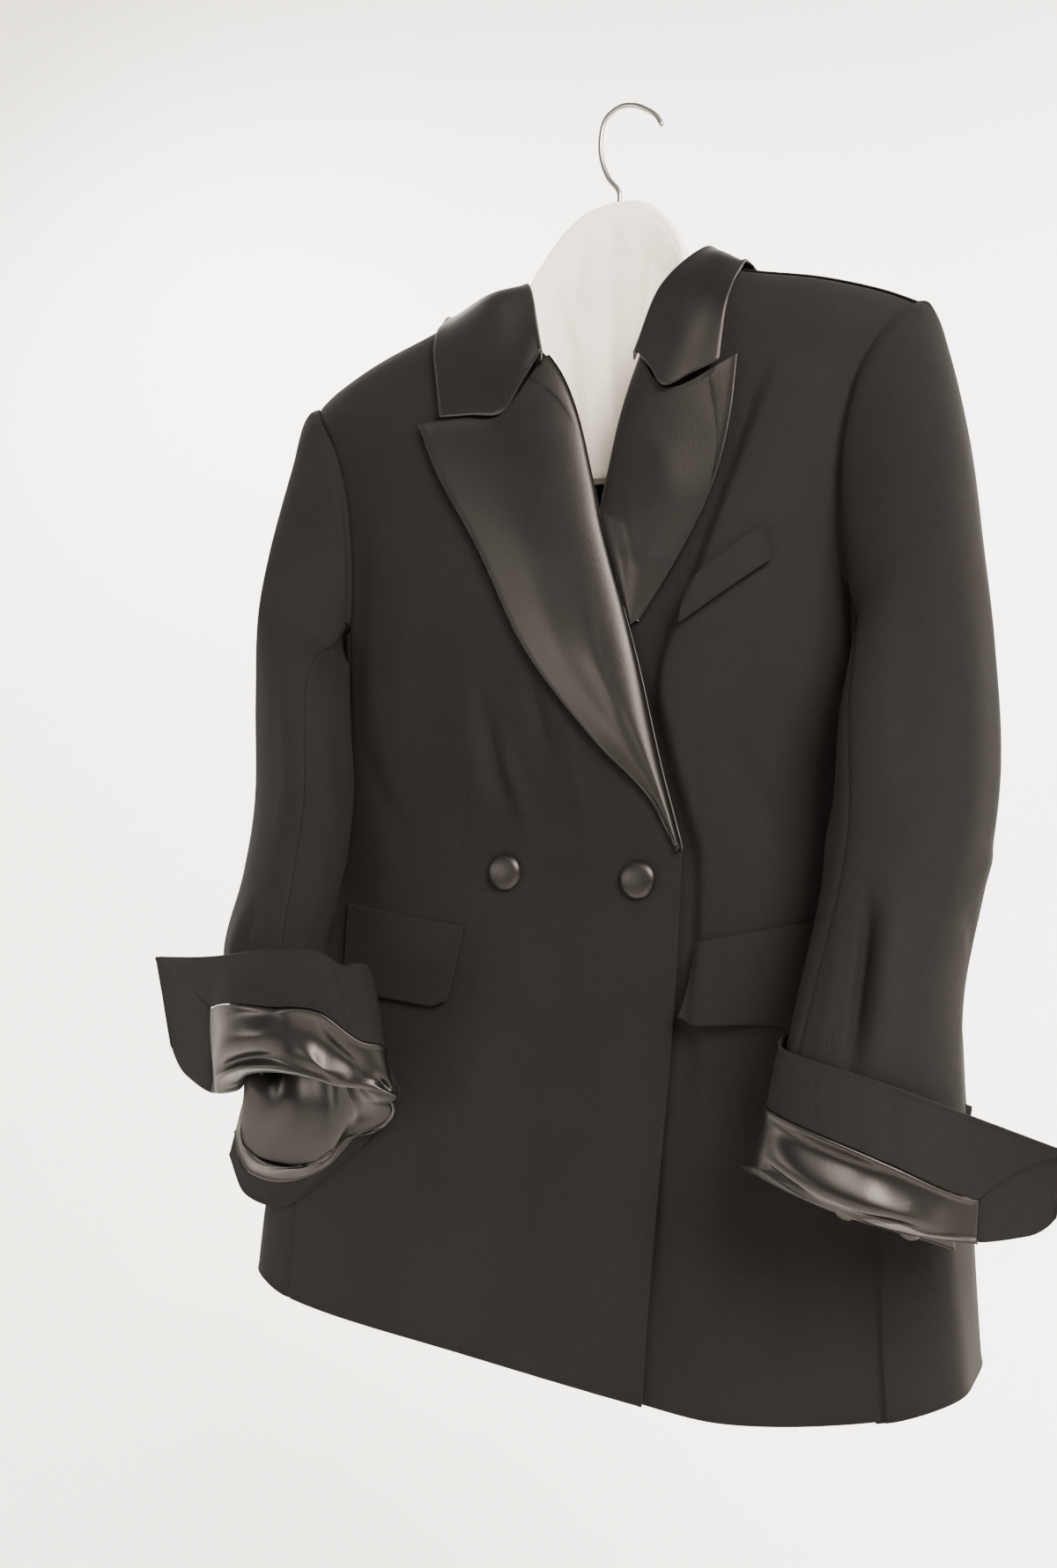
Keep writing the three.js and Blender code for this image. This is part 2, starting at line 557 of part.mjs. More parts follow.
// Cuffs. Each row of a table is a place round the turned-up end, from the free end at the vent, over the front
// and round the inner side to the back: the fold, the edge, and the satin's share of the way between them.
const cuffColumns = ["angle", "foldX", "foldY", "foldZ", "edgeX", "edgeY", "edgeZ", "satin"];
const cuffs = {
  left: table(cuffColumns, [
    [0.0, -34, 318, -148, -766, 331, -150, -722, 0.35],
    [0.12, 4, 282, -162, -772, 286, -160, -706, 0.34],
    [0.3, 62, 240, -184, -765, 246, -180, -689, 0.45],
    [0.45, 112, 204, -188, -755, 214, -180, -680, 0.5],
    [0.58, 152, 166, -182, -742, 186, -170, -673, 0.5],
    [0.68, 186, 144, -146, -752, 176, -146, -668, 0.5],
    [0.8, 232, 184, -128, -773, 192, -112, -690, 0.5],
    [1.0, 300, 262, -126, -788, 268, -96, -712, 0.5],
  ]),
  right: table(cuffColumns, [
    [0.0, -30, 307, -150, -724, 326, -150, -642, 0.5],
    [0.12, 6, 258, -152, -739, 249, -158, -636, 0.63],
    [0.28, 60, 205, -167, -726, 189, -186, -628, 0.58],
    [0.42, 104, 157, -168, -723, 149, -184, -628, 0.56],
    [0.54, 148, 119, -160, -724, 136, -172, -638, 0.4],
    [0.62, 180, 109, -147, -732, 129, -145, -648, 0.4],
    [0.72, 214, 163, -129, -752, 141, -117, -750, 0.5],
    [0.8, 236, 181, -125, -782, 191, -111, -800, 0.5],
    [0.9, 288, 229, -125, -790, 237, -109, -830, 0.5],
    [0.96, 320, 259, -129, -780, 271, -113, -824, 0.5],
    [1.0, 338, 255, -137, -755, 281, -119, -794, 0.5],
  ]),
};
const VENT_FACING = 0.12; // the share of a cuff's length that is faced with cloth beside the vent
const SLEEVE_CLEAR = 4.6; // least gap between the cuff and the sleeve inside it
const FOLD_CLEAR = 3.6; // the same at the fold
const LINING_GAP = 1.6;
const FACING_GAP = 0.015; // between the satin and the facing, as a share of the cuff's depth
const CUFF_MIDDLE = { x: 205, y: -140, z: -735 };

// Moves a point out until it is clear of the sleeve inside the cuff
function outsideSleeve(rings, side, point, gap) {
  const p = new THREE.Vector3(side * point.x, point.y, point.z);
  let best = null;
  for (let station = 7.6; station <= 10; station += 0.1) {
    const at = rings(station);
    const middle = new THREE.Vector3(at.x, at.y, at.z);
    const next = rings(Math.min(station + 0.1, 10));
    const before = rings(station - 0.1);
    const axis = new THREE.Vector3(next.x - before.x, next.y - before.y, next.z - before.z).normalize();
    const off = p.clone().sub(middle);
    const along = Math.abs(off.dot(axis));
    if (!best || along < best.along) best = { along, at, middle, off };
  }
  const a = ringPoint(best.at, 0).sub(best.middle);
  const b = ringPoint(best.at, 90).sub(best.middle);
  const c = best.off.dot(a) / a.lengthSq();
  const s = best.off.dot(b) / b.lengthSq();
  const reach = Math.hypot(c, s);
  const bound = 1 + gap / mix(best.at.short, best.at.long, Math.abs(c) / Math.max(reach, 0.01));
  if (reach < bound) p.add(a.multiplyScalar(c * (bound / reach - 1))).add(b.multiplyScalar(s * (bound / reach - 1)));
  p.x *= side;
  return p;
}

function cuffShape(name, side) {
  const rings = sleeves[name];
  const cuffAt = (u, v) => {
    const at = cuffs[name](u);
    const fold = new THREE.Vector3(side * at.foldX, at.foldY, at.foldZ);
    const edge = new THREE.Vector3(side * at.edgeX, at.edgeY, at.edgeZ);
    return outsideSleeve(rings, side, fold.lerp(edge, v), mix(FOLD_CLEAR, SLEEVE_CLEAR, smooth(v / 0.15)));
  };
  const inside = (u, station) => {
    const angle = Math.min(Math.max(cuffs[name](u).angle, -20), 334);
    return sleevePoint(rings, side, angle, station, CLOTH + SATIN + LINING_GAP);
  };
  return { cuffAt, inside };
}

const VENT_GAP = 0.0012; // half the gap beside the vent's facing, as a share of the cuff's length
const SATIN_INSIDE = [9.1, 9.7]; // stations of the sleeve between which the satin lines it
for (const [name, side] of [["right", -1], ["left", 1]]) {
  const { cuffAt, inside } = cuffShape(name, side);
  const satinRows = (u) => {
    const share = cuffs[name](u).satin;
    const outside = [0, 0.3, 0.65, 0.99].map((v) => cuffAt(u, v * share));
    return [...SATIN_INSIDE.map((station) => inside(u, station)), ...outside];
  };
  const along = steps(18, (t) => mix(VENT_FACING + VENT_GAP, 1, t));
  const axis = new THREE.Vector3(side * CUFF_MIDDLE.x, CUFF_MIDDLE.y, CUFF_MIDDLE.z);
  add("cuff_satin_" + name, wall(along.map(satinRows), SATIN, axis), SATIN_LOOK);
  const facing = along.map((u) => steps(2, (t) => mix(cuffs[name](u).satin + FACING_GAP, 1, t)).map((v) => cuffAt(u, v)));
  add("cuff_facing_" + name, wall(facing, CLOTH, axis), CLOTH_LOOK);
  const vent = steps(3, (t) => t * (VENT_FACING - VENT_GAP)).map((u) => steps(4).map((v) => cuffAt(u, v)));
  add("cuff_vent_" + name, wall(vent, CLOTH, axis), CLOTH_LOOK);
}

// Two buttons show under the fold of the wearer's left cuff, sewn to its back half
const leftCuff = cuffShape("left", 1);
for (const [name, u] of [["cuff_button_1", 0.845], ["cuff_button_2", 0.94]]) {
  const within = leftCuff.inside(u, SATIN_INSIDE[1]);
  const fold = leftCuff.cuffAt(u, 0);
  const beside = leftCuff.cuffAt(u + 0.02, 0);
  const forward = fold.clone().sub(within).cross(beside.sub(fold)).normalize();
  if (forward.y > 0) forward.negate();
  const seat = fold.lerp(within, CUFF_BUTTON.above).addScaledVector(forward, 2 * SEAM);
  add(name, buttonShape(CUFF_BUTTON), SATIN_LOOK, facing(seat, forward));
}

// The hanger: arms that curve forward, a wire hook, and a cloth cover that hangs over the arms
const ARM_REACH = 196;
const armLine = table(["forward"], [[0, 2], [30, 4], [50, 9], [62, 17], [70, 27], [82, 44], [100, 53], [205, 57]]);
const armForward = (x) => -armLine(Math.abs(x)).forward;
const coverTop = table(["z"], [
  [0, -72], [22, -76], [38, -87], [50, -102], [62, -126], [68, -151], [76, -160], [100, -168], [150, -187], [205, -212],
]);
const ARM_DROP = 14; // from the cover's top to the arms' middle
const HALF_STATIONS = [20, 38, 52, 62, 68, 76, 88, 108, 135, 165, 190, 203];
const COVER_STATIONS = [...HALF_STATIONS.map((x) => -x).reverse(), 0, ...HALF_STATIONS];
const ARM_WIDE = 5.4; // half the arms' depth
const ARM_TIP = { wide: 3, length: 20 }; // the arms taper to their tips
const ARM_FLAT = 0.8; // their height as a share of their depth
const ARM_SIDES = 10;
const armGrid = COVER_STATIONS.slice(1, -1).map((x) => {
  const wide = mix(ARM_TIP.wide, ARM_WIDE, smooth((ARM_REACH - Math.abs(x)) / ARM_TIP.length));
  const middle = coverTop(Math.abs(x)).z - ARM_DROP;
  return Array.from({ length: ARM_SIDES }, (_, k) => {
    const angle = (2 * Math.PI * k) / ARM_SIDES;
    return new THREE.Vector3(
      x, armForward(x) + wide * Math.sin(angle), middle + wide * ARM_FLAT * Math.cos(angle),
    );
  });
});
add("hanger_arms", rod(armGrid), { color: 0xcfc3ae, roughness: 0.7, metalness: 0 });

// A closed bar from rings of points
function rod(rings) {
  const [n, m] = [rings.length, rings[0].length];
  const positions = rings.flat().flatMap((p) => [p.x, p.y, p.z]);
  const faces = [];
  for (let i = 0; i < n - 1; i += 1) {
    for (let k = 0; k < m; k += 1) {
      const [a, b] = [i * m + k, i * m + ((k + 1) % m)];
      faces.push(a, b, b + m, a, b + m, a + m);
    }
  }
  for (const [ring, sign] of [[0, -1], [n - 1, 1]]) {
    for (let k = 1; k < m - 1; k += 1) {
      const [a, b, c] = [ring * m, ring * m + k, ring * m + k + 1];
      faces.push(...(sign > 0 ? [a, b, c] : [a, c, b]));
    }
  }
  return solid(positions, faces);
}

const COVER_REACH_X = 203;
const COVER_HALF = 10.6; // half the cover's depth over the arms
const COVER_END = { half: 2.4, length: 24 }; // the cover closes towards its two ends
const COVER_WAVE = { height: 1.8, turn: 1.9 }; // soft folds in the hanging front
const COVER_PATH = [
  [-1, 0], [-1, 0.25], [-1, 0.5], [-1, 0.75], [-0.96, 0.9], [-0.62, 0.985], [0, 1],
  [0.62, 0.985], [0.96, 0.9], [1, 0.6], [1, 0.3], [1, 0],
]; // over the arms from the front's hem to the back's: side, and share of the way up
const coverGrid = COVER_STATIONS.map((x, i) => {
  const top = coverTop(Math.abs(x)).z;
  const half = mix(COVER_END.half, COVER_HALF, smooth((COVER_REACH_X - Math.abs(x)) / COVER_END.length));
  const wave = COVER_WAVE.height * Math.sin(i * COVER_WAVE.turn) * (1 - Math.abs(x) / COVER_REACH_X);
  return COVER_PATH.map(([side, up]) => {
    const z = mix(COVER_HEM, top, up);
    const pinch = up > 0.8 ? 1 : 0.8 + 0.2 * up; // the cover hangs a little closer below the arms
    return new THREE.Vector3(x, armForward(x) + side * half * pinch + (side < 0 ? wave * (1 - up) : 0), z);
  });
});
const COVER_LOOK = { color: 0xe6dccb, roughness: 0.9, metalness: 0 };
add("hanger_cover", wall(coverGrid, CLOTH, new THREE.Vector3(0, -10, -260)), COVER_LOOK);

// The hook's wire rises out of the cover and turns over what holds it; its free end is flicked up
const HOOK_POINTS = [
  [2, -71.6], [1.5, -62], [-7, -50], [-12.5, -34], [-13, -18], [-8.5, -4], [3, 2.2], [15, 0.6], [25, -5],
  [33, -12], [38, -21],
]; // x and z
const HOOK_STEPS = 34;
const HOOK_SIDES = 8;
const hookLine = new THREE.CatmullRomCurve3(HOOK_POINTS.map(([x, z]) => new THREE.Vector3(x, 0, z)));
const hookRings = hookLine.getSpacedPoints(HOOK_STEPS).map((middle, i) => {
  const along = hookLine.getTangentAt(i / HOOK_STEPS);
  const across = new THREE.Vector3(0, 1, 0);
  const up = along.clone().cross(across).normalize();
  return Array.from({ length: HOOK_SIDES }, (_, k) => {
    const angle = (2 * Math.PI * k) / HOOK_SIDES;
    return middle.clone()
      .addScaledVector(across, HOOK_WIRE * Math.cos(angle))
      .addScaledVector(up, HOOK_WIRE * Math.sin(angle));
  });
});
add("hanger_hook", rod(hookRings), { color: 0x8f8a80, roughness: 0.3, metalness: 1 });

export default jacket;
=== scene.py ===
import math

import bpy
import numpy as np
from mathutils import Matrix, Vector


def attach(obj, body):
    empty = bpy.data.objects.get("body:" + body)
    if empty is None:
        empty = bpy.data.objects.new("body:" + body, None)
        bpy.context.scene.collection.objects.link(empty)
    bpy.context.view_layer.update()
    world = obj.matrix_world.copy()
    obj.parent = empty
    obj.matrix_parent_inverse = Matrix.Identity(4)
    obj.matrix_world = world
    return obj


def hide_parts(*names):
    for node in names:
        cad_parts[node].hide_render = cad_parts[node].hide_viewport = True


bl_info = {
    "name": "Tuxedo Jacket on a Hanger",
    "version": (1, 0, 0),
    "blender": (4, 5, 0),
    "location": "3D View > Sidebar > Tuxedo",
    "description": "Sews a double-breasted tuxedo jacket and hangs it on a cloth-covered hanger",
    "category": "Object",
}

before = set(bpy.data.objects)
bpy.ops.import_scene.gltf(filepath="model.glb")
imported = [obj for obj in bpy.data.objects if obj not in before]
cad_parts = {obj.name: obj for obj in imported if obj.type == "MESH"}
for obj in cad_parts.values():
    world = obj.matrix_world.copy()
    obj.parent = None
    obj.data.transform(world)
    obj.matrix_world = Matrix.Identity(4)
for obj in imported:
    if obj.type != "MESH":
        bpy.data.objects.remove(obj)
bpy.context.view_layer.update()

MM = 0.001


# Curves and small sums

def size_table(columns, rows):
    """Gives a smooth curve through the rows, as a function of the first number of each row."""
    rows = np.array(rows, float)
    keys = rows[:, 0]
    order = 1 if keys[-1] > keys[0] else -1
    last = len(rows) - 1
    slopes = np.array([
        (rows[min(i + 1, last)] - rows[max(i - 1, 0)]) / (keys[min(i + 1, last)] - keys[max(i - 1, 0)])
        for i in range(last + 1)
    ])

    def at(key):
        key = np.asarray(key, float)
        i = np.clip(np.searchsorted(order * keys, order * key, side="right") - 1, 0, last - 1)
        span = keys[i + 1] - keys[i]
        t = np.clip((key - keys[i]) / span, 0, 1)
        t2, t3 = t * t, t * t * t
        return {
            name: (2 * t3 - 3 * t2 + 1) * rows[i, c] + (t3 - 2 * t2 + t) * span * slopes[i, c]
            + (3 * t2 - 2 * t3) * rows[i + 1, c] + (t3 - t2) * span * slopes[i + 1, c]
            for c, name in enumerate(columns, 1)
        }

    return at


def mix(a, b, t):
    return a + (b - a) * t


def ease(v):
    v = np.clip(v, 0, 1)
    return v * v * (3 - 2 * v)


def bell(off, width):
    return np.exp(-((off / width) ** 2))


def along(count, near=0.003):
    """Shares from 0 to 1, with one more close to each end so that an edge stays crisp."""
    inner = np.linspace(0, 1, count + 1)[1:-1]
    return np.concatenate([[0, near], inner, [1 - near, 1]])


def through(points, count):
    """Smooth curves through the rows of points, as count + 1 rows."""
    points = np.asarray(points, float)
    padded = np.concatenate([2 * points[:1] - points[1:2], points, 2 * points[-1:] - points[-2:-1]])
    t = np.linspace(0, len(points) - 1, count + 1)
    i = np.minimum(t.astype(int), len(points) - 2)
    f = (t - i).reshape((-1,) + (1,) * (points.ndim - 1))
    a, b, c, d = padded[i], padded[i + 1], padded[i + 2], padded[i + 3]
    return 0.5 * (2 * b + (c - a) * f + (2 * a - 5 * b + 4 * c - d) * f**2 + (3 * b - a - 3 * c + d) * f**3)


# The body of the jacket: sections, outlines and edges, in millimetres

SEAM = 0.3
UNDERLAP = 3.8
SHOULDER_ROUND = 42
ARMHOLE_FOOT = -392
NECK_POINT = 86
BACK_NECK = -160
TIP = 236

body = size_table(
    ("half_width", "side_y", "front_depth", "back_depth", "squareness"),
    [
        (-140, 238, -52, 26, 68, 3.0),
        (-210, 238, -56, 36, 70, 3.0),
        (-300, 217, -54, 44, 68, 3.0),
        (-400, 210, -48, 52, 64, 3.0),
        (-520, 211, -46, 58, 62, 3.0),
        (-580, 219, -46, 60, 62, 3.2),
        (-650, 248, -48, 60, 64, 3.6),
        (-720, 256, -54, 56, 70, 4.0),
        (-810, 264, -62, 50, 78, 4.4),
        (-930, 273, -70, 46, 86, 4.6),
    ],
)
shoulder = size_table(("z",), [
    (0, -108), (40, -122), (66, -138), (90, -152), (121, -165), (172, -180), (212, -196), (237, -209),
])
hem = size_table(("z",), [
    (-272, -884), (-225, -898), (-70, -911), (61, -921), (125, -923), (223, -904), (272, -886),
])
right_roll = size_table(("x",), [
    (-144, -90), (-180, -54), (-213, -14), (-249, 7), (-308, 23), (-339, 29.5), (-427, 54), (-504, 72.5),
    (-542, 83), (-560, 87.5), (-579, 87), (-693, 81.5), (-930, 68),
])
left_roll = size_table(("x",), [
    (-144, 94), (-180, 75), (-223, 58), (-263, 44), (-304, 34), (-333, 26.5), (-427, -6), (-504, -36),
    (-560, -60), (-700, -62), (-930, -58),
])
deep_fold = size_table(("x", "rise"), [
    (-235, 158, 0), (-258, 150, 4), (-307, 132, 9), (-373, 107, 13), (-435, 82, 15),
    (-493, 80, 12), (-560, 103, 9), (-620, 105, 8), (-700, 104, 3), (-780, 106, 0),
])
FOLD_STEP = 13
FOLD_REACH = 82
front_armhole = size_table(("x",), [
    (-209, 236), (-224, 222), (-240, 211), (-258, 202), (-300, 192), (-345, 190), (-375, 193), (-392, 196),
])
back_armhole = size_table(("x",), [(-209, 236), (-235, 224), (-300, 203), (-350, 194), (-392, 190)])
front_side_seam = size_table(("x",), [
    (-392, 196), (-520, 197), (-600, 208), (-680, 222), (-814, 220), (-930, 226),
])
back_side_seam = size_table(("x",), [(-392, 190), (-520, 186), (-650, 205), (-930, 212)])


def fold_rise(x, z):
    fold = deep_fold(z)
    across = x - fold["x"]
    clear = ease((x - right_roll(z)["x"] - 5) / FOLD_STEP)
    rise = fold["rise"] * ease((across + FOLD_STEP) / FOLD_STEP) * (1 - ease(across / FOLD_REACH)) * clear
    return np.where((z > -235) | (z < -780), 0, rise)


def fullness(x, z):
    at = body(z)
    across = np.maximum(1 - (np.abs(x) / at["half_width"]) ** at["squareness"], 0) ** (1 / at["squareness"])
    down = np.clip((shoulder(np.abs(x))["z"] - z) / SHOULDER_ROUND, 0, 1)
    return across * np.sqrt(1 - (1 - down) ** 2)


def front_y(x, z):
    at = body(z)
    return at["side_y"] - at["front_depth"] * fullness(x, z) - fold_rise(x, z)


def back_y(x, z):
    at = body(z)
    return at["side_y"] + at["back_depth"] * fullness(x, z)


SKIRT_SWAY = 8.5
SWAY_TOP = -620
SWAY_DROP = 280


def section_point(side, degrees, z):
    at = body(z)
    angle = np.radians(degrees)
    power = 2 / at["squareness"]
    depth = np.where(degrees < 90, -at["front_depth"], at["back_depth"])
    x = side * at["half_width"] * np.sin(angle) ** power
    y = at["side_y"] + depth * np.abs(np.cos(angle)) ** power
    return np.stack(np.broadcast_arrays(x, y, z), -1)


def swayed(points):
    """The skirt of the jacket swings a little to the wearer's right as it hangs."""
    points = points.copy()
    points[..., 0] -= SKIRT_SWAY * ease((SWAY_TOP - points[..., 2]) / SWAY_DROP)
    return points


def crease_rise(a, b, creases):
    """How far the cloth stands out at (a, b): soft ridges, and troughs where the depth is below 0.
    Each crease runs from one point to another with a bow to one side, and fades out at both ends."""
    rise = np.zeros(np.broadcast(a, b).shape)
    for a0, b0, a1, b1, bow, width, depth in creases:
        length = math.hypot(a1 - a0, b1 - b0)
        da, db = (a1 - a0) / length, (b1 - b0) / length
        t = ((a - a0) * da + (b - b0) * db) / length
        inside = np.clip(t, 0, 1)
        off = (a - a0) * db - (b - b0) * da - bow * 4 * inside * (1 - inside)
        steep = np.where(off > 0, width, width * 0.7)
        rise += depth * ease(t / 0.4) * ease((1 - t) / 0.4) * bell(off, steep)
    return rise


# Meshes

def grid_normals(grid):
    normal = np.cross(np.gradient(grid, axis=0), np.gradient(grid, axis=1))
    return normal / np.maximum(np.linalg.norm(normal, axis=-1, keepdims=True), 1e-9)


def run_length(grid, axis):
    step = np.linalg.norm(np.diff(grid, axis=axis), axis=-1)
    start = np.zeros_like(np.take(step, [0], axis=axis))
    return np.concatenate([start, np.cumsum(step, axis=axis)], axis=axis)


def facing_out(grid, away):
    """The grid turned so that its normals point away from a point on its inner side."""
    normal = grid_normals(grid)
    if np.sum(normal * (grid - np.asarray(away, float))) < 0:
        return grid[::-1]
    return grid


def edge_moves(grid, first=0, last=0, top=0, foot=0, width=1.6):
    """A small rise at each edge of a grid: below 0 the edge is drawn into its seam, above 0 it is swollen."""
    across, down = run_length(grid, 0), run_length(grid, 1)
    return (
        first * bell(across, width) + last * bell(across[-1:] - across, width)
        + top * bell(down, width) + foot * bell(down[:, -1:] - down, width)
    )[..., None]


def relaxed(grid, passes):
    """The grid with its small steps smoothed away. Its border stays where it is."""
    for _ in range(passes):
        inner = grid[1:-1, 1:-1]
        beside = grid[:-2, 1:-1] + grid[2:, 1:-1] + grid[1:-1, :-2] + grid[1:-1, 2:]
        grid = grid.copy()
        grid[1:-1, 1:-1] = inner * 0.5 + beside * 0.125
    return grid


# How a seam allowance turns under the next piece: outwards and inwards from the edge, in millimetres
ALLOWANCE = [(7.5, 3.1), (5, 3.0), (2.6, 2.5), (1.0, 1.2)]


def tucked(grid, normal, edge):
    """Adds a seam allowance at one edge of a grid, which turns under the piece that is sewn to it."""
    turned = edge in ("top", "foot")
    lines, normals = (np.swapaxes(g, 0, 1) if turned else g for g in (grid, normal))
    if edge in ("last", "foot"):
        lines, normals = lines[::-1], normals[::-1]
    out = lines[0] - lines[3]
    out = out / np.maximum(np.linalg.norm(out, axis=1, keepdims=True), 1e-9)
    lines = np.concatenate([np.array([lines[0] + out * a - normals[2] * b for a, b in ALLOWANCE]), lines])
    if edge in ("last", "foot"):
        lines = lines[::-1]
    return np.swapaxes(lines, 0, 1) if turned else lines


ARMHOLE_MIDDLE = (-8, -300)  # y and z


def turned_in(grid, side):
    """Adds the allowance of a sleeve's head, which turns in behind the edge of the armhole."""
    first = grid[:, 0]
    inwards = np.stack([
        0 * first[:, 0], ARMHOLE_MIDDLE[0] - first[:, 1], ARMHOLE_MIDDLE[1] - first[:, 2],
    ], -1)
    inwards /= np.linalg.norm(inwards, axis=1, keepdims=True)
    towards_body = np.array([-side, 0, 0])
    rows = [first + towards_body * a + inwards * b for a, b in ((8, 4.4), (5.5, 4.2), (3.2, 3.4), (1.4, 1.8))]
    return np.concatenate([np.swapaxes(np.array(rows), 0, 1), grid], 1)


def outward(grid, away):
    """The normals of a grid, all on the side that faces away from a point or a line of points."""
    normal = grid_normals(grid)
    return normal if np.sum(normal * (grid - np.asarray(away, float))) > 0 else -normal


def new_piece(name, vertices, faces, uv, materials, face_materials=None):
    mesh = bpy.data.meshes.new(name)
    mesh.from_pydata((np.asarray(vertices) * MM).tolist(), [], faces)
    for material in materials:
        mesh.materials.append(material)
    corner = np.zeros(len(mesh.loops), np.int32)
    mesh.loops.foreach_get("vertex_index", corner)
    layer = mesh.uv_layers.new(name="cloth")
    layer.data.foreach_set("uv", np.asarray(uv, np.float32)[corner].ravel())
    mesh.polygons.foreach_set("use_smooth", np.ones(len(mesh.polygons), bool))
    if face_materials is not None:
        mesh.polygons.foreach_set("material_index", np.asarray(face_materials, np.int32))
    mesh.update()
    piece = bpy.data.objects.new(name, mesh)
    bpy.context.scene.collection.objects.link(piece)
    return piece


def cloth_wall(name, grid, thickness, away, materials, back=None, flat_uv=False):
    """A wall of cloth with rounded edges, from a grid of points on its outer face."""
    turned = facing_out(grid, away)
    if back is None:
        back = turned - grid_normals(turned) * thickness
    elif turned is not grid:
        back = back[::-1]
    n, m = turned.shape[:2]
    index = np.arange(n * m).reshape(n, m)
    a, b, c, d = index[:-1, :-1], index[1:, :-1], index[1:, 1:], index[:-1, 1:]
    outer = np.stack([a, b, c, d], -1).reshape(-1, 4)
    inner = np.stack([a, d, c, b], -1).reshape(-1, 4) + n * m
    rim = np.concatenate([index[:-1, 0], index[-1, :-1], index[:0:-1, -1], index[0, :0:-1]])
    points, behind = turned.reshape(-1, 3), back.reshape(-1, 3)
    centre = np.roll(rim, -1)
    run = points[centre] - points[np.roll(rim, 1)]
    out = np.cross(run, grid_normals(turned).reshape(-1, 3)[rim])
    out /= np.maximum(np.linalg.norm(out, axis=1, keepdims=True), 1e-9)
    middle = (points[rim] + behind[rim]) / 2 + out * thickness * 0.35
    k = np.arange(len(rim))
    after = np.roll(k, -1)
    edge = 2 * n * m
    front_rim = np.stack([rim[after], rim[k], edge + k, edge + after], -1)
    back_rim = np.stack([edge + after, edge + k, rim[k] + n * m, rim[after] + n * m], -1)
    vertices = np.concatenate([points, behind, middle])
    if flat_uv:
        plane = points[:, [0, 2]] * MM
    else:
        plane = np.stack([run_length(turned, 0), run_length(turned, 1)], -1).reshape(-1, 2) * MM
    uv = np.concatenate([plane, plane, plane[rim]])
    faces = np.concatenate([outer, inner, front_rim, back_rim]).tolist()
    slots = np.zeros(len(faces), int)
    if len(materials) > 1:
        slots[len(outer):len(outer) + len(inner)] = 1
    return new_piece(name, vertices, faces, uv, materials, slots)


def closed_bar(name, rings, materials, loops_shut=True):
    """A bar from rings of points, shut at both ends."""
    n, m = rings.shape[:2]
    index = np.arange(n * m).reshape(n, m)
    side = np.stack([index[:-1], np.roll(index[:-1], -1, 1), np.roll(index[1:], -1, 1), index[1:]], -1)
    faces = side.reshape(-1, 4).tolist()
    if loops_shut:
        faces += [index[0][::-1].tolist(), index[-1].tolist()]
    across = run_length(np.concatenate([rings, rings[:, :1]], 1), 1)[:, :-1]
    uv = np.stack([run_length(rings, 0), across], -1).reshape(-1, 2) * MM
    return new_piece(name, rings.reshape(-1, 3), faces, uv, materials)


def dress(piece, node):
    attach(piece, "root")
    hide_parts(node)
    return piece


# Colours and materials

def linear(hex_code):
    """An sRGB hex colour as linear red, green, blue and alpha."""
    parts = [int(hex_code[i:i + 2], 16) / 255 for i in (0, 2, 4)]
    return tuple(p / 12.92 if p <= 0.04045 else ((p + 0.055) / 1.055) ** 2.4 for p in parts) + (1.0,)


def shade(colour, factor):
    return tuple(min(c * factor, 1) for c in colour[:3]) + (1.0,)


def add_node(tree, kind, settings=None, links=None):
    """Adds a node, sets its values and links its inputs. An integer names an input by its place."""
    node = tree.nodes.new(kind)
    for key, value in (settings or {}).items():
        if isinstance(key, int) or key in node.inputs:
            node.inputs[key].default_value = value
        else:
            setattr(node, key, value)
    for key, socket in (links or {}).items():
        tree.links.new(socket, node.inputs[key])
    return node


def new_material(name, settings):
    """A material with one shader, set to constant values. Gives the material, its tree and its shader."""
    material = bpy.data.materials.new(name)
    material.use_nodes = True
    tree = material.node_tree
    tree.nodes.clear()
    shader = add_node(tree, "ShaderNodeBsdfPrincipled", settings)
    add_node(tree, "ShaderNodeOutputMaterial", links={"Surface": shader.outputs[0]})
    return material, tree, shader


def math_node(tree, operation, *values):
    node = add_node(tree, "ShaderNodeMath", {"operation": operation})
    for place, value in enumerate(values):
        if isinstance(value, (int, float)):
            node.inputs[place].default_value = value
        else:
            tree.links.new(value, node.inputs[place])
    return node.outputs[0]


def weave_height(tree, pitch, lean):
    """Threads that cross at a pitch in metres. lean moves each thread along by that share:
    0 is plain, 1 twill."""
    where = add_node(tree, "ShaderNodeUVMap", {"uv_map": "cloth"}).outputs[0]
    parts = add_node(tree, "ShaderNodeSeparateXYZ", links={0: where})
    turn = 2 * math.pi / pitch
    across = math_node(tree, "MULTIPLY", parts.outputs[0], turn)
    down = math_node(tree, "MULTIPLY", parts.outputs[1], turn)
    leaning = math_node(tree, "SINE", math_node(tree, "ADD", math_node(tree, "MULTIPLY", across, lean), down))
    leant = math_node(tree, "MULTIPLY", down, lean)
    crossing = math_node(tree, "SINE", math_node(tree, "SUBTRACT", across, leant))
    return math_node(tree, "MULTIPLY", leaning, crossing), where


def noise(tree, where, scale, detail=2.0, roughness=0.5):
    return add_node(
        tree, "ShaderNodeTexNoise", {"Scale": scale, "Detail": detail, "Roughness": roughness},
        {"Vector": where},
    ).outputs[0]


def object_place(tree):
    return add_node(tree, "ShaderNodeTexCoord").outputs["Object"]


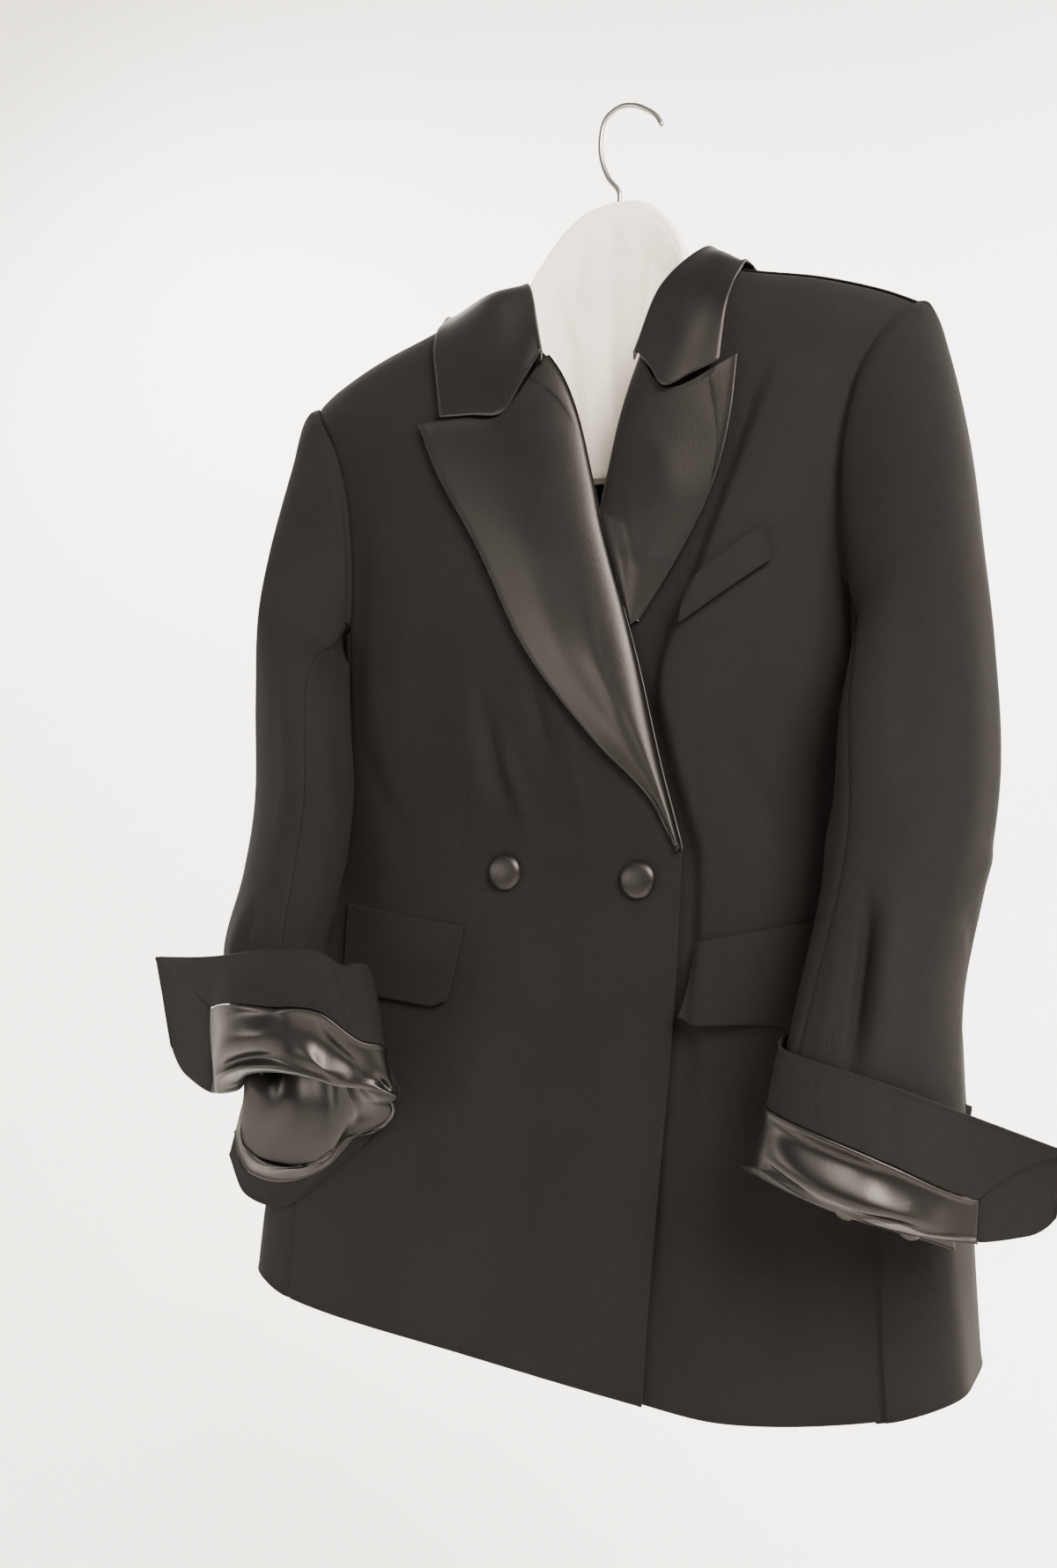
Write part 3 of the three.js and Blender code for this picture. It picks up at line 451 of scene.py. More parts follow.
def worsted_wool(name, colour):
    """Worsted wool, woven in a fine twill and pressed: matt and nearly black, with a warm cast, a faint grain
    of lighter fibres and a little sheen where it turns away from the eye."""
    material, tree, shader = new_material(name, {
        "IOR": 1.5, "Specular IOR Level": 0.12, "Sheen Weight": 0.03, "Sheen Roughness": 0.5,
        "Sheen Tint": linear("8c8178"),
    })
    # real threads are 0.35 mm apart: drawn at 0.9 mm, the finest that shows
    weave, _ = weave_height(tree, 0.0009, 0.5)
    place = object_place(tree)
    fibres = noise(tree, place, 1100, 3, 0.7)
    cloudy = noise(tree, place, 14, 3, 0.5)
    grain = math_node(tree, "ADD", math_node(tree, "MULTIPLY", weave, 0.3), fibres)
    patches = math_node(tree, "MULTIPLY", math_node(tree, "SUBTRACT", cloudy, 0.5), 0.5)
    tone = math_node(tree, "ADD", grain, patches)
    ramp = add_node(tree, "ShaderNodeMapRange", {"From Min": 0.25, "From Max": 0.75}, {"Value": tone})
    blend = add_node(tree, "ShaderNodeMix", {"data_type": "RGBA"}, {"Factor": ramp.outputs[0]})
    blend.inputs[6].default_value = shade(colour, 0.6)
    blend.inputs[7].default_value = shade(colour, 1.5)
    tree.links.new(blend.outputs[2], shader.inputs["Base Color"])
    rough = add_node(tree, "ShaderNodeMapRange", {"To Min": 0.74, "To Max": 0.92}, {"Value": cloudy})
    tree.links.new(rough.outputs[0], shader.inputs["Roughness"])
    bump = add_node(tree, "ShaderNodeBump", {"Strength": 0.7, "Distance": 0.0003}, {"Height": grain})
    tree.links.new(bump.outputs[0], shader.inputs["Normal"])
    return material


def duchess_satin(name, colour, roughness, sheen, shine):
    """Heavy satin, warp threads floated over the weft: black with a soft bright sheen that runs across the
    threads, and faint ribs along them."""
    material, tree, shader = new_material(name, {
        "IOR": 1.5, "Specular IOR Level": shine, "Anisotropic": 0.4, "Sheen Weight": sheen,
        "Sheen Roughness": 0.3, "Sheen Tint": linear("9c948c"), "Specular Tint": linear("faf1e9"),
    })
    where = add_node(tree, "ShaderNodeUVMap", {"uv_map": "cloth"}).outputs[0]
    # floats of about 0.2 by 1.2 mm: drawn at 0.5 by 4 mm, the finest that shows
    threads = add_node(tree, "ShaderNodeMapping", {"Scale": (2000, 250, 1)}, {"Vector": where})
    floats = noise(tree, threads.outputs[0], 1, 2, 0.5)
    place = object_place(tree)
    cloudy = noise(tree, place, 22, 3, 0.5)
    blend = add_node(tree, "ShaderNodeMix", {"data_type": "RGBA"}, {"Factor": floats})
    blend.inputs[6].default_value = shade(colour, 0.75)
    blend.inputs[7].default_value = shade(colour, 1.3)
    tree.links.new(blend.outputs[2], shader.inputs["Base Color"])
    rough = add_node(
        tree, "ShaderNodeMapRange", {"To Min": roughness - 0.05, "To Max": roughness + 0.06},
        {"Value": cloudy},
    )
    tree.links.new(rough.outputs[0], shader.inputs["Roughness"])
    bump = add_node(tree, "ShaderNodeBump", {"Strength": 0.5, "Distance": 0.0002}, {"Height": floats})
    tree.links.new(bump.outputs[0], shader.inputs["Normal"])
    return material


def plain_cotton(name, colour):
    """Undyed cotton sheeting in a plain weave: cream and matt, with slubs, and painted shade that makes it
    slightly greyer in the hollows of its weave."""
    material, tree, shader = new_material(name, {
        "IOR": 1.5, "Specular IOR Level": 0.25, "Sheen Weight": 0.1, "Sheen Roughness": 0.5,
    })
    # real threads are 0.4 mm apart: drawn at 1 mm, the finest that shows
    weave, where = weave_height(tree, 0.001, 0)
    slub_place = add_node(tree, "ShaderNodeMapping", {"Scale": (900, 70, 1)}, {"Vector": where}).outputs[0]
    slubs = noise(tree, slub_place, 1, 3, 0.6)
    place = object_place(tree)
    cloudy = noise(tree, place, 18, 3, 0.5)
    grain = math_node(tree, "ADD", math_node(tree, "MULTIPLY", weave, 0.25), slubs)
    # painted shade: the low parts of the weave darken the colour; the slubs and cloudy patches are the cotton's
    # own tone
    tone = math_node(tree, "MULTIPLY", math_node(tree, "ADD", grain, cloudy), 0.5)
    ramp = add_node(tree, "ShaderNodeMapRange", {"From Min": 0.3, "From Max": 0.7}, {"Value": tone})
    blend = add_node(tree, "ShaderNodeMix", {"data_type": "RGBA"}, {"Factor": ramp.outputs[0]})
    blend.inputs[6].default_value = shade(colour, 0.86)
    blend.inputs[7].default_value = shade(colour, 1.06)
    tree.links.new(blend.outputs[2], shader.inputs["Base Color"])
    rough = add_node(tree, "ShaderNodeMapRange", {"To Min": 0.86, "To Max": 0.95}, {"Value": cloudy})
    tree.links.new(rough.outputs[0], shader.inputs["Roughness"])
    bump = add_node(tree, "ShaderNodeBump", {"Strength": 0.5, "Distance": 0.0003}, {"Height": grain})
    tree.links.new(bump.outputs[0], shader.inputs["Normal"])
    return material


def drawn_wire(name, colour):
    """Steel wire, drawn and nickel plated: bright, with fine lines along it and duller where it is
    handled."""
    material, tree, shader = new_material(name, {"Metallic": 1.0})
    place = object_place(tree)
    drawn = add_node(tree, "ShaderNodeMapping", {"Scale": (900, 900, 60)}, {"Vector": place})
    lines = noise(tree, drawn.outputs[0], 1)
    worn = noise(tree, place, 60, 3, 0.6)
    blend = add_node(tree, "ShaderNodeMix", {"data_type": "RGBA"}, {"Factor": worn})
    blend.inputs[6].default_value = shade(colour, 0.78)
    blend.inputs[7].default_value = shade(colour, 1.12)
    tree.links.new(blend.outputs[2], shader.inputs["Base Color"])
    rough = add_node(tree, "ShaderNodeMapRange", {"To Min": 0.2, "To Max": 0.4}, {"Value": worn})
    tree.links.new(rough.outputs[0], shader.inputs["Roughness"])
    bump = add_node(tree, "ShaderNodeBump", {"Strength": 0.2, "Distance": 0.00005}, {"Height": lines})
    tree.links.new(bump.outputs[0], shader.inputs["Normal"])
    return material


def turned_beech(name, colour):
    """Beech, sanded and left bare: pale and dull, with short darker flecks along the grain."""
    material, tree, shader = new_material(name, {"IOR": 1.5, "Specular IOR Level": 0.35})
    place = object_place(tree)
    grain_place = add_node(tree, "ShaderNodeMapping", {"Scale": (60, 700, 700)}, {"Vector": place}).outputs[0]
    flecks = noise(tree, grain_place, 1, 4, 0.6)
    blend = add_node(tree, "ShaderNodeMix", {"data_type": "RGBA"}, {"Factor": flecks})
    blend.inputs[6].default_value = shade(colour, 0.7)
    blend.inputs[7].default_value = shade(colour, 1.1)
    tree.links.new(blend.outputs[2], shader.inputs["Base Color"])
    rough = add_node(tree, "ShaderNodeMapRange", {"To Min": 0.5, "To Max": 0.7}, {"Value": flecks})
    tree.links.new(rough.outputs[0], shader.inputs["Roughness"])
    bump = add_node(tree, "ShaderNodeBump", {"Strength": 0.25, "Distance": 0.0001}, {"Height": flecks})
    tree.links.new(bump.outputs[0], shader.inputs["Normal"])
    return material


def studio_paper(name, colour):
    """Seamless background paper: pale, even and fully matt."""
    material, tree, shader = new_material(name, {"Roughness": 0.95, "Specular IOR Level": 0.1})
    cloudy = noise(tree, object_place(tree), 1.5, 2, 0.5)
    blend = add_node(tree, "ShaderNodeMix", {"data_type": "RGBA"}, {"Factor": cloudy})
    blend.inputs[6].default_value = shade(colour, 0.97)
    blend.inputs[7].default_value = shade(colour, 1.02)
    tree.links.new(blend.outputs[2], shader.inputs["Base Color"])
    return material


made = {}


def finish_of(context, name):
    """The material of that name, made on first use from the colours in the panel."""
    if name not in made:
        colours = context.scene.tuxedo_colours
        makers = {
            "wool": lambda: worsted_wool("worsted wool, fine twill", tuple(colours.wool)),
            "satin": lambda: duchess_satin("silk satin facing", tuple(colours.satin), 0.42, 0.02, 0.42),
            "lining": lambda: duchess_satin("viscose satin lining", tuple(colours.lining), 0.35, 0.0, 0.42),
            "cotton": lambda: plain_cotton("cotton sheeting, undyed", tuple(colours.cover)),
            "wire": lambda: drawn_wire("steel wire, nickel plated", tuple(colours.wire)),
            "beech": lambda: turned_beech("beech, sanded", tuple(colours.wood)),
            "paper": lambda: studio_paper("seamless paper", tuple(colours.floor)),
        }
        made[name] = makers[name]()
    return made[name]


# Shapes of the panels

BEHIND = (0, 900, -500)
BEFORE = (0, -900, -500)


def filled_outline(inner, outer, top, bottom, across, down):
    """Fills a four-sided outline in the x-z plane. Each border gives x and z for shares from 0 to 1."""
    s, t = across[:, None], down[None, :]
    ends = [np.array(border(np.array([0.0, 1.0]))) for border in (inner, outer)]
    i, o = np.array(inner(down)), np.array(outer(down))
    a, b = np.array(top(across)), np.array(bottom(across))
    out = []
    for axis in (0, 1):
        (near_0, near_1), (far_0, far_1) = ends[0][axis][:2], ends[1][axis][:2]
        corner = mix(mix(near_0, far_0, s), mix(near_1, far_1, s), t)
        sides = mix(i[axis][None, :], o[axis][None, :], s) + mix(a[axis][:, None], b[axis][:, None], t)
        out.append(sides - corner)
    return out


def neck_height(roll):
    z = float(shoulder(NECK_POINT)["z"])
    for _ in range(20):
        z = mix(z, float(shoulder(abs(float(roll(z)["x"])))["z"]), 0.5)
    return z


def front_outline(side, roll, across, down):
    inner_top = neck_height(roll)
    neck = float(roll(inner_top)["x"])
    reach = side * TIP

    def seam_x(z):
        return np.where(z > ARMHOLE_FOOT, front_armhole(z)["x"], front_side_seam(z)["x"])

    inner_hem = float(hem(roll(-915)["x"])["z"])
    outer_hem = float(hem(side * front_side_seam(-905)["x"])["z"])
    outer_top = float(shoulder(TIP)["z"])

    def inner(t):
        z = mix(inner_top, inner_hem, t)
        return roll(z)["x"], z

    def outer(t):
        z = mix(outer_top, outer_hem, t)
        return side * seam_x(z), z

    def top(s):
        x = mix(neck, reach, s)
        return x, shoulder(np.abs(x))["z"] - SEAM

    def bottom(s):
        x = mix(float(roll(inner_hem)["x"]), side * float(seam_x(np.array(outer_hem))), s)
        return x, hem(x)["z"]

    return filled_outline(inner, outer, top, bottom, across, down)


# Creases in the x-z plane: x and z at each end, bow, width and depth
FRONT_CREASES = {
    "right": [
        (-63, -421, -84, -610, 2, 1.1, -0.9),
        (-70, -412, -60, -560, 6, 16, 2.0),
        (-67, -432, -30, -548, 7, 9, -3.2),
        (-50, -470, -16, -556, 4, 8, 2.4),
        (-26, -426, -6, -500, 3, 7, -2.4),
        (-2, -452, 30, -560, 5, 8, 1.4),
        (-34, -578, 46, -582, -3, 10, -1.3),
        (-56, -590, -120, -700, -8, 16, -1.6),
        (-44, -594, -60, -800, 10, 24, 1.8),
        (-168, -290, -176, -500, 9, 15, -2.6),
        (-140, -300, -150, -560, -6, 22, 1.5),
        (-178, -470, -120, -560, 6, 12, -1.8),
        (-150, -690, -176, -895, 5, 26, 2.2),
        (-106, -690, -118, -905, -5, 22, -2.0),
        (-10, -650, -30, -915, 6, 30, -2.2),
        (42, -640, 34, -915, -4, 26, 1.6),
    ],
    "left": [
        (100, -414, 104, -618, 1, 1.1, -0.9),
        (146, -330, 150, -560, 8, 22, 1.6),
        (172, -300, 166, -480, -7, 14, -2.4),
        (118, -470, 164, -560, 6, 12, -1.8),
        (96, -690, 110, -910, 6, 22, 2.6),
        (140, -690, 158, -900, -6, 20, -2.4),
        (186, -690, 198, -890, 5, 22, 2.0),
        (72, -640, 78, -915, 4, 12, -1.6),
    ],
}
BACK_CREASES = [
    (38, -220, 96, -420, 10, 24, 1.8),
    (120, -240, 150, -430, -9, 18, -2.2),
    (20, -470, 150, -545, 9, 17, -2.6),
    (30, -505, 165, -600, 8, 18, 2.2),
    (60, -560, 82, -890, -8, 26, 2.8),
    (112, -600, 132, -880, 9, 22, -2.6),
    (166, -590, 182, -870, 6, 20, 2.0),
    (24, -700, 20, -900, 3, 18, -1.6),
]


def front_grid(name, side, roll, out, across, down, folds=1.0):
    x, z = front_outline(side, roll, across, down)
    y = front_y(x, z) + out - folds * crease_rise(x, z, FRONT_CREASES[name])
    return swayed(np.stack([x, y, z], -1))


def on_front(x, z, name, out):
    """The outer face of a front at (x, z), creases and all."""
    return front_y(x, z) + out - crease_rise(x, z, FRONT_CREASES[name])


def back_outline(side, across, down):
    def seam_x(z):
        return np.where(z > ARMHOLE_FOOT, back_armhole(z)["x"], back_side_seam(z)["x"])

    outer_hem = float(hem(side * back_side_seam(-905)["x"])["z"])
    middle_hem = float(hem(0)["z"])
    outer_top = float(shoulder(TIP)["z"])

    def neck_z(x):
        share = (np.minimum(x, NECK_POINT) / NECK_POINT) ** 3
        in_neck = mix(BACK_NECK, float(shoulder(NECK_POINT)["z"]), share)
        return np.where(x < NECK_POINT, in_neck, shoulder(x)["z"])

    def inner(t):
        return side * SEAM * np.ones_like(t), mix(BACK_NECK, middle_hem, t)

    def outer(t):
        z = mix(outer_top, outer_hem, t)
        return side * seam_x(z), z

    def top(s):
        x = mix(SEAM, TIP, s)
        return side * x, neck_z(x) - SEAM

    def bottom(s):
        x = side * mix(SEAM, float(seam_x(np.array(outer_hem))), s)
        return x, hem(x)["z"]

    return filled_outline(inner, outer, top, bottom, across, down)


def side_angle(x, z):
    at = body(z)
    return np.degrees(np.arcsin(np.minimum(x / at["half_width"], 1) ** (at["squareness"] / 2)))


SIDE_HEM = -890
SIDE_SCOOP = 6


def side_grid(side, across, down):
    s, t = np.meshgrid(across, down, indexing="ij")

    def place(z):
        start = side_angle(front_side_seam(z)["x"] + 2.2 * SEAM + (1.5 if side > 0 else 0), z)
        end = 180 - side_angle(back_side_seam(z)["x"] + 0.8, z)
        return section_point(side, mix(start, end, s), z)

    foot = hem(place(SIDE_HEM * np.ones_like(s))[..., 0])["z"]
    return place(mix(ARMHOLE_FOOT - 1 - SIDE_SCOOP * np.sin(np.pi * s), foot, t))


# Lapels and collar

LAPEL_WALL = 1.8
LAPEL_SEAT = LAPEL_WALL + 0.6
right_lapel_edge = size_table(("x", "z"), [
    (0, -117, -247), (0.14, -99, -288), (0.3, -66, -343), (0.5, -27, -419), (0.7, 26, -484), (0.88, 67, -524),
    (1, 86, -556),
])
left_lapel_edge = size_table(("x", "z"), [
    (0, 127, -235), (0.2, 121, -281), (0.4, 108, -325), (0.6, 84, -368), (0.8, 56, -405), (1, 20, -446),
])
right_gorge = size_table(("x", "z"), [(0, -13, -213), (0.35, -44, -253), (0.6, -76, -251), (1, -117, -247)])
left_gorge = size_table(("x", "z"), [(0, 57, -223), (0.4, 81, -252), (1, 127, -235)])


def lapel_rise(s):
    return LAPEL_SEAT + 6.5 * np.sin(np.pi * s**0.6) + 2.6 * s


def lapel_grid(roll, edge, edge_end, gorge, top, foot, across, down):
    def inner(t):
        z = mix(top, foot, t)
        return roll(z), z

    def outer(t):
        at = edge(np.asarray(t) * edge_end)
        return at["x"], at["z"]

    def head(s):
        at = gorge(s)
        return at["x"], at["z"]

    def tail(s):
        (x0, z0), (x1, z1) = inner(1.0), outer(1.0)
        return mix(x0, x1, s), mix(z0, z1, s)

    x, z = filled_outline(inner, outer, head, tail, across, down)
    s, t = np.meshgrid(across, down, indexing="ij")
    fade = 1 - 0.75 * ease((t - 0.7) / 0.3)
    rise = LAPEL_SEAT + (lapel_rise(s) - LAPEL_SEAT) * fade
    return x, z, rise, s, t


def rolled_edge(grid, radius, turns):
    """Adds columns before the first that turn round behind it, as cloth does at a roll line."""
    first = grid[0]
    out = grid[0] - grid[1]
    out[:, 2] = 0
    out /= np.linalg.norm(out, axis=1, keepdims=True)
    normal = np.array([0, -1.0, 0])
    rows = []
    for k in range(turns, 0, -1):
        angle = math.pi * k / turns
        rows.append(first + out * radius * math.sin(angle) - normal * radius * (1 - math.cos(angle)))
    return np.concatenate([np.array(rows), grid])


collar_table = size_table(
    ("roll_x", "roll_y", "roll_z", "mid_x", "mid_y", "mid_z", "edge_x", "edge_y", "edge_z"),
    [
        (-1.0, -13, -104, -211, -44, -104, -251, -98, -98, -245.5),
        (-0.75, -28, -84, -180, -62, -96, -198, -104, -84, -208),
        (-0.5, -47, -58, -143, -82, -66, -151, -113, -61, -162),
        (-0.3, -76, -11, -134, -90, -4, -147, -107, 0, -174),
        (0, 3, 15, -131, 3, 21, -143, 3, 22, -178),
        (0.3, 86, -12, -139, 96, -6, -149, 114, 0, -174),
        (0.5, 92, -54, -142, 105, -60, -149, 123, -58, -160),
        (0.75, 72, -88, -176, 98, -96, -196, 119, -90, -206),
        (1.0, 56, -98, -220, 80, -106, -251, 116, -98, -238),
    ],
)
COLLAR_LIFT = LAPEL_WALL + 4


def over_body(p):
    """Points of the collar moved out until they are clear of the shoulders."""
    x, y, z = p[..., 0], p[..., 1], p[..., 2]
    top = shoulder(np.abs(x))["z"]
    low = np.minimum(z, top)
    side = body(low)["side_y"]
    front, rear = front_y(x, low) - COLLAR_LIFT, back_y(x, low) + COLLAR_LIFT
    y = np.where(y < side, np.minimum(y, front), np.maximum(y, rear))
    near = 1 - ease((np.abs(y - side) - COLLAR_LIFT) / 14)
    z = mix(z, np.maximum(z, top + COLLAR_LIFT), near)
    return np.stack([x, y, z], -1)


def collar_grid(places, leaf_rows, stand_rows):
    at = collar_table(places)
    roll, mid, edge = (
        np.stack([at[line + "_" + axis] for axis in "xyz"], -1) for line in ("roll", "mid", "edge")
    )
    over = over_body(np.stack([mix(roll, mid, 0.5), mid, mix(mid, edge, 0.5), edge]))
    leaf = through(np.concatenate([roll[None], over]), leaf_rows)
    inward = np.array([3.0, -30.0, 0]) - roll
    inward[:, 2] = 0
    inward /= np.linalg.norm(inward, axis=1, keepdims=True)
    depth = mix(8.0, 25.0, ease((0.68 - np.abs(places)) / 0.2))[:, None]
    stand = []
    for k in range(stand_rows, 0, -1):
        t = k / stand_rows
        drop = depth * t**1.4
        inwards = 2.6 * np.minimum(1, np.sqrt(np.clip(t * 4, 0, 1))) * np.ones_like(depth)
        stand.append(roll + inward * inwards - np.array([0, 0, 1.0]) * drop)
    rows = np.concatenate([np.array(stand), relaxed(leaf, 60)])
    return np.swapaxes(rows, 0, 1)


# Sleeves and cuffs

SLEEVE_COLUMNS = ("x", "y", "z", "long", "short", "tilt", "lean", "pitch")
SLEEVE_HEAD = [(0, 224, -58, -306, 98, 26, 0, 82, 0), (1, 228, -61, -314, 96, 31, 2, 78, 0)]
sleeve_rings = {
    "left": size_table(SLEEVE_COLUMNS, SLEEVE_HEAD + [
        (2, 231, -65, -333, 87, 35, 8, 72.5, 0),
        (3, 236, -70, -364, 71, 37, 14, 63, 0),
        (4, 238, -79, -407, 58, 37, 22, 47, 0),
        (5, 239, -88, -457, 52, 35, 28, 27, 0),
        (6, 238, -95, -520, 50, 34, 30, 7, 0),
        (7, 233, -112, -580, 48, 34, 29, 0, 6),
        (8, 226, -140, -642, 47, 33, 26, -5, 10),
        (9, 223, -154, -700, 53, 28, 20, -10, 4),
        (10, 222, -160, -752, 60, 24, 14, -13, -10),
    ]),
    "right": size_table(SLEEVE_COLUMNS, SLEEVE_HEAD + [
        (2, 227, -65, -333, 84, 35, 8, 72.5, 0),
        (3, 229, -75, -360, 64, 35, 14, 63, 0),
        (4, 227, -91, -400, 48, 34, 22, 47, 0),
        (5, 223, -98, -457, 46, 33, 28, 27, 0),
        (6, 221, -101, -520, 47, 34, 30, 7, 0),
        (7, 221, -116, -580, 46, 34, 29, 0, 6),
        (8, 219, -141, -640, 46, 33, 22, 0, 14),
        (9, 202, -147, -694, 52, 31, 10, -3, 34),
        (10, 186, -147, -748, 61, 29, 0, -6, 52),
    ]),
}
SLEEVE_FADE = 3.2
SLEEVE_END = 9.35
FRONT_SEAM = 152
BACK_SEAM = 318
SEAM_TURN = 0.6
GIRTH = 0.8  # millimetres of cloth for each degree round a sleeve

# Creases of the sleeves: degrees and height at each end, bow, width and depth
SLEEVE_CREASES = {
    "left": [
        (150, -262, 148, -560, 0, 34, 10),
        (128, -574, 107, -702, 5, 5.4, -10.0),
        (115, -560, 96, -704, 6, 8, 2.8),
        (140, -600, 132, -700, 3, 6, 1.4),
        (72, -300, 66, -700, 6, 15, 2.0),
        (96, -330, 104, -560, -6, 13, -1.7),
        (30, -400, 42, -640, 7, 16, 1.6),
        (14, -330, 8, -560, -5, 14, -1.4),
        (60, -596, 20, -622, 5, 8, -1.6),
        (-8, -560, 60, -590, -5, 9, 1.4),
        (200, -440, 240, -560, 9, 15, -2.0),
        (176, -520, 250, -590, 9, 12, 2.0),
        (230, -580, 290, -640, -7, 11, -1.8),
        (286, -380, 300, -560, 7, 16, 1.8),
    ],
    "right": [
        (150, -262, 150, -660, 0, 36, 6),
        (118, -596, 104, -648, 3, 4.5, -2.4),
        (104, -590, 84, -690, 5, 9, 1.8),
        (70, -290, 78, -560, 7, 16, 1.9),
        (98, -330, 110, -600, -7, 14, -1.8),
        (34, -380, 46, -640, 6, 15, 1.6),
        (52, -600, 0, -640, 6, 9, -1.8),
        (40, -632, -10, -668, 5, 8, 1.5),
        (200, -440, 236, -540, 9, 15, -2.0),
        (180, -500, 250, -580, 8, 12, 2.0),
        (226, -570, 286, -634, -7, 11, -1.9),
        (290, -380, 296, -560, 6, 16, 1.8),
        (214, -640, 222, -748, 4, 11, 3.2),
        (240, -600, 236, -748, 4, 11, -3.4),
        (266, -640, 270, -748, -4, 11, 3.2),
        (290, -620, 286, -748, 4, 10, -2.8),
    ],
}


def armhole_point(degrees):
    down = (1 - np.cos(np.radians(degrees))) / 2
    z = mix(float(shoulder(TIP)["z"]), ARMHOLE_FOOT - 12, down)
    front = (degrees >= 0) & (degrees < 180)
    edge = np.maximum(z, ARMHOLE_FOOT)
    x = np.where(front, front_armhole(edge)["x"], back_armhole(edge)["x"]) + 1.4
    under = ease((down - 0.92) / 0.08)
    middle = body(z)["side_y"]
    opening = np.where(front, front_y(x - 3, edge), back_y(x - 3, edge))
    return np.stack([mix(x, 214, under), mix(opening, middle, under**2), z], -1)


def ring_axes(at):
    tilt, lean, pitch = (np.radians(at[k]) for k in ("tilt", "lean", "pitch"))
    outwards = np.stack([np.cos(tilt) * np.cos(lean), np.sin(tilt) * np.cos(lean), np.sin(lean)], -1)
    forwards = np.stack([np.sin(tilt) * np.cos(pitch), -np.cos(tilt) * np.cos(pitch), np.sin(pitch)], -1)
    return outwards * at["long"][..., None], forwards * at["short"][..., None]


def ring_point(at, degrees):
    outwards, forwards = ring_axes(at)
    angle = np.radians(degrees)
    c, s = np.cos(angle)[..., None], np.sin(angle)[..., None]
    middle = np.stack([at["x"], at["y"], at["z"]], -1)
    return middle + outwards * np.sign(c) * np.abs(c) ** 0.92 + forwards * np.sign(s) * np.abs(s) ** 0.92


def sleeve_point(name, degrees, station, inset=0.0):
    degrees, station = np.broadcast_arrays(np.asarray(degrees, float), np.asarray(station, float))
    at = sleeve_rings[name](station)
    shrunk = dict(at, long=at["long"] - inset, short=at["short"] - inset)
    point = ring_point(shrunk, degrees)
    start = {k: np.broadcast_to(v, degrees.shape) for k, v in sleeve_rings[name](0.0).items()}
    stay = (1 - ease(station / SLEEVE_FADE))[..., None]
    point = point + stay * (armhole_point(degrees) - ring_point(start, degrees))
    point[..., 0] *= 1 if name == "left" else -1
    return point


CUFF_COLUMNS = ("angle", "fold_x", "fold_y", "fold_z", "edge_x", "edge_y", "edge_z", "satin")
cuff_tables = {
    "left": size_table(CUFF_COLUMNS, [
        (0.0, -34, 318, -148, -766, 331, -150, -722, 0.35),
        (0.12, 4, 282, -162, -772, 286, -160, -706, 0.34),
        (0.3, 62, 240, -184, -765, 246, -180, -689, 0.45),
        (0.45, 112, 204, -188, -755, 214, -180, -680, 0.5),
        (0.58, 152, 166, -182, -742, 186, -170, -673, 0.5),
        (0.68, 186, 144, -146, -752, 176, -146, -668, 0.5),
        (0.8, 232, 184, -128, -773, 192, -112, -690, 0.5),
        (1.0, 300, 262, -126, -788, 268, -96, -712, 0.5),
    ]),
    "right": size_table(CUFF_COLUMNS, [
        (0.0, -30, 307, -150, -724, 326, -150, -642, 0.5),
        (0.12, 6, 260, -161, -738, 256, -171, -637, 0.63),
        (0.28, 60, 205, -169, -726, 189, -189, -628, 0.58),
        (0.42, 104, 157, -168, -723, 149, -184, -628, 0.56),
        (0.54, 148, 119, -160, -724, 136, -172, -638, 0.4),
        (0.62, 180, 109, -147, -732, 129, -145, -648, 0.4),
        (0.72, 214, 163, -129, -752, 141, -117, -750, 0.5),
        (0.8, 236, 181, -125, -782, 191, -111, -800, 0.5),
        (0.9, 288, 229, -125, -790, 237, -109, -830, 0.5),
        (0.96, 320, 259, -129, -780, 271, -113, -824, 0.5),
        (1.0, 338, 255, -137, -755, 281, -119, -794, 0.5),
    ]),
}
VENT_FACING = 0.12
VENT_GAP = 0.0012
MITRE_FADE = 0.15
MITRE_COLUMNS = 30
SLEEVE_CLEAR = 4.6
FOLD_CLEAR = 3.6


def outside_sleeve(name, points, gap):
    """Points of a cuff moved out until they are clear of the sleeve inside it."""
    side = 1 if name == "left" else -1
    p = points * np.array([side, 1, 1])
    stations = np.arange(7.6, 10.001, 0.02)
    at = sleeve_rings[name](stations)
    after, before = sleeve_rings[name](np.minimum(stations + 0.1, 10)), sleeve_rings[name](stations - 0.1)
    middle = np.stack([at["x"], at["y"], at["z"]], -1)
    axis = np.stack([after[k] - before[k] for k in "xyz"], -1)
    axis /= np.linalg.norm(axis, axis=1, keepdims=True)
    off = p[..., None, :] - middle
    pick = np.argmin(np.abs(np.sum(off * axis, -1)), -1)
    outwards, forwards = ring_axes(at)
    a, b = outwards[pick], forwards[pick]
    off = p - middle[pick]
    c = np.sum(off * a, -1) / np.sum(a * a, -1)
    s = np.sum(off * b, -1) / np.sum(b * b, -1)
    reach = np.maximum(np.hypot(c, s), 0.01)
    bound = 1 + gap / mix(at["short"][pick], at["long"][pick], np.abs(c) / reach)
    push = np.where(reach < bound, bound / reach - 1, 0)
    p = p + a * (c * push)[..., None] + b * (s * push)[..., None]
    return p * np.array([side, 1, 1])


def cuff_point(name, u, v):
    u, v = np.broadcast_arrays(np.asarray(u, float), np.asarray(v, float))
    side = 1 if name == "left" else -1
    at = cuff_tables[name](u)
    fold = np.stack([side * at["fold_x"], at["fold_y"], at["fold_z"]], -1)
    edge = np.stack([side * at["edge_x"], at["edge_y"], at["edge_z"]], -1)
    gap = mix(FOLD_CLEAR, SLEEVE_CLEAR, ease(v / 0.15))
    return outside_sleeve(name, mix(fold, edge, v[..., None]), gap)


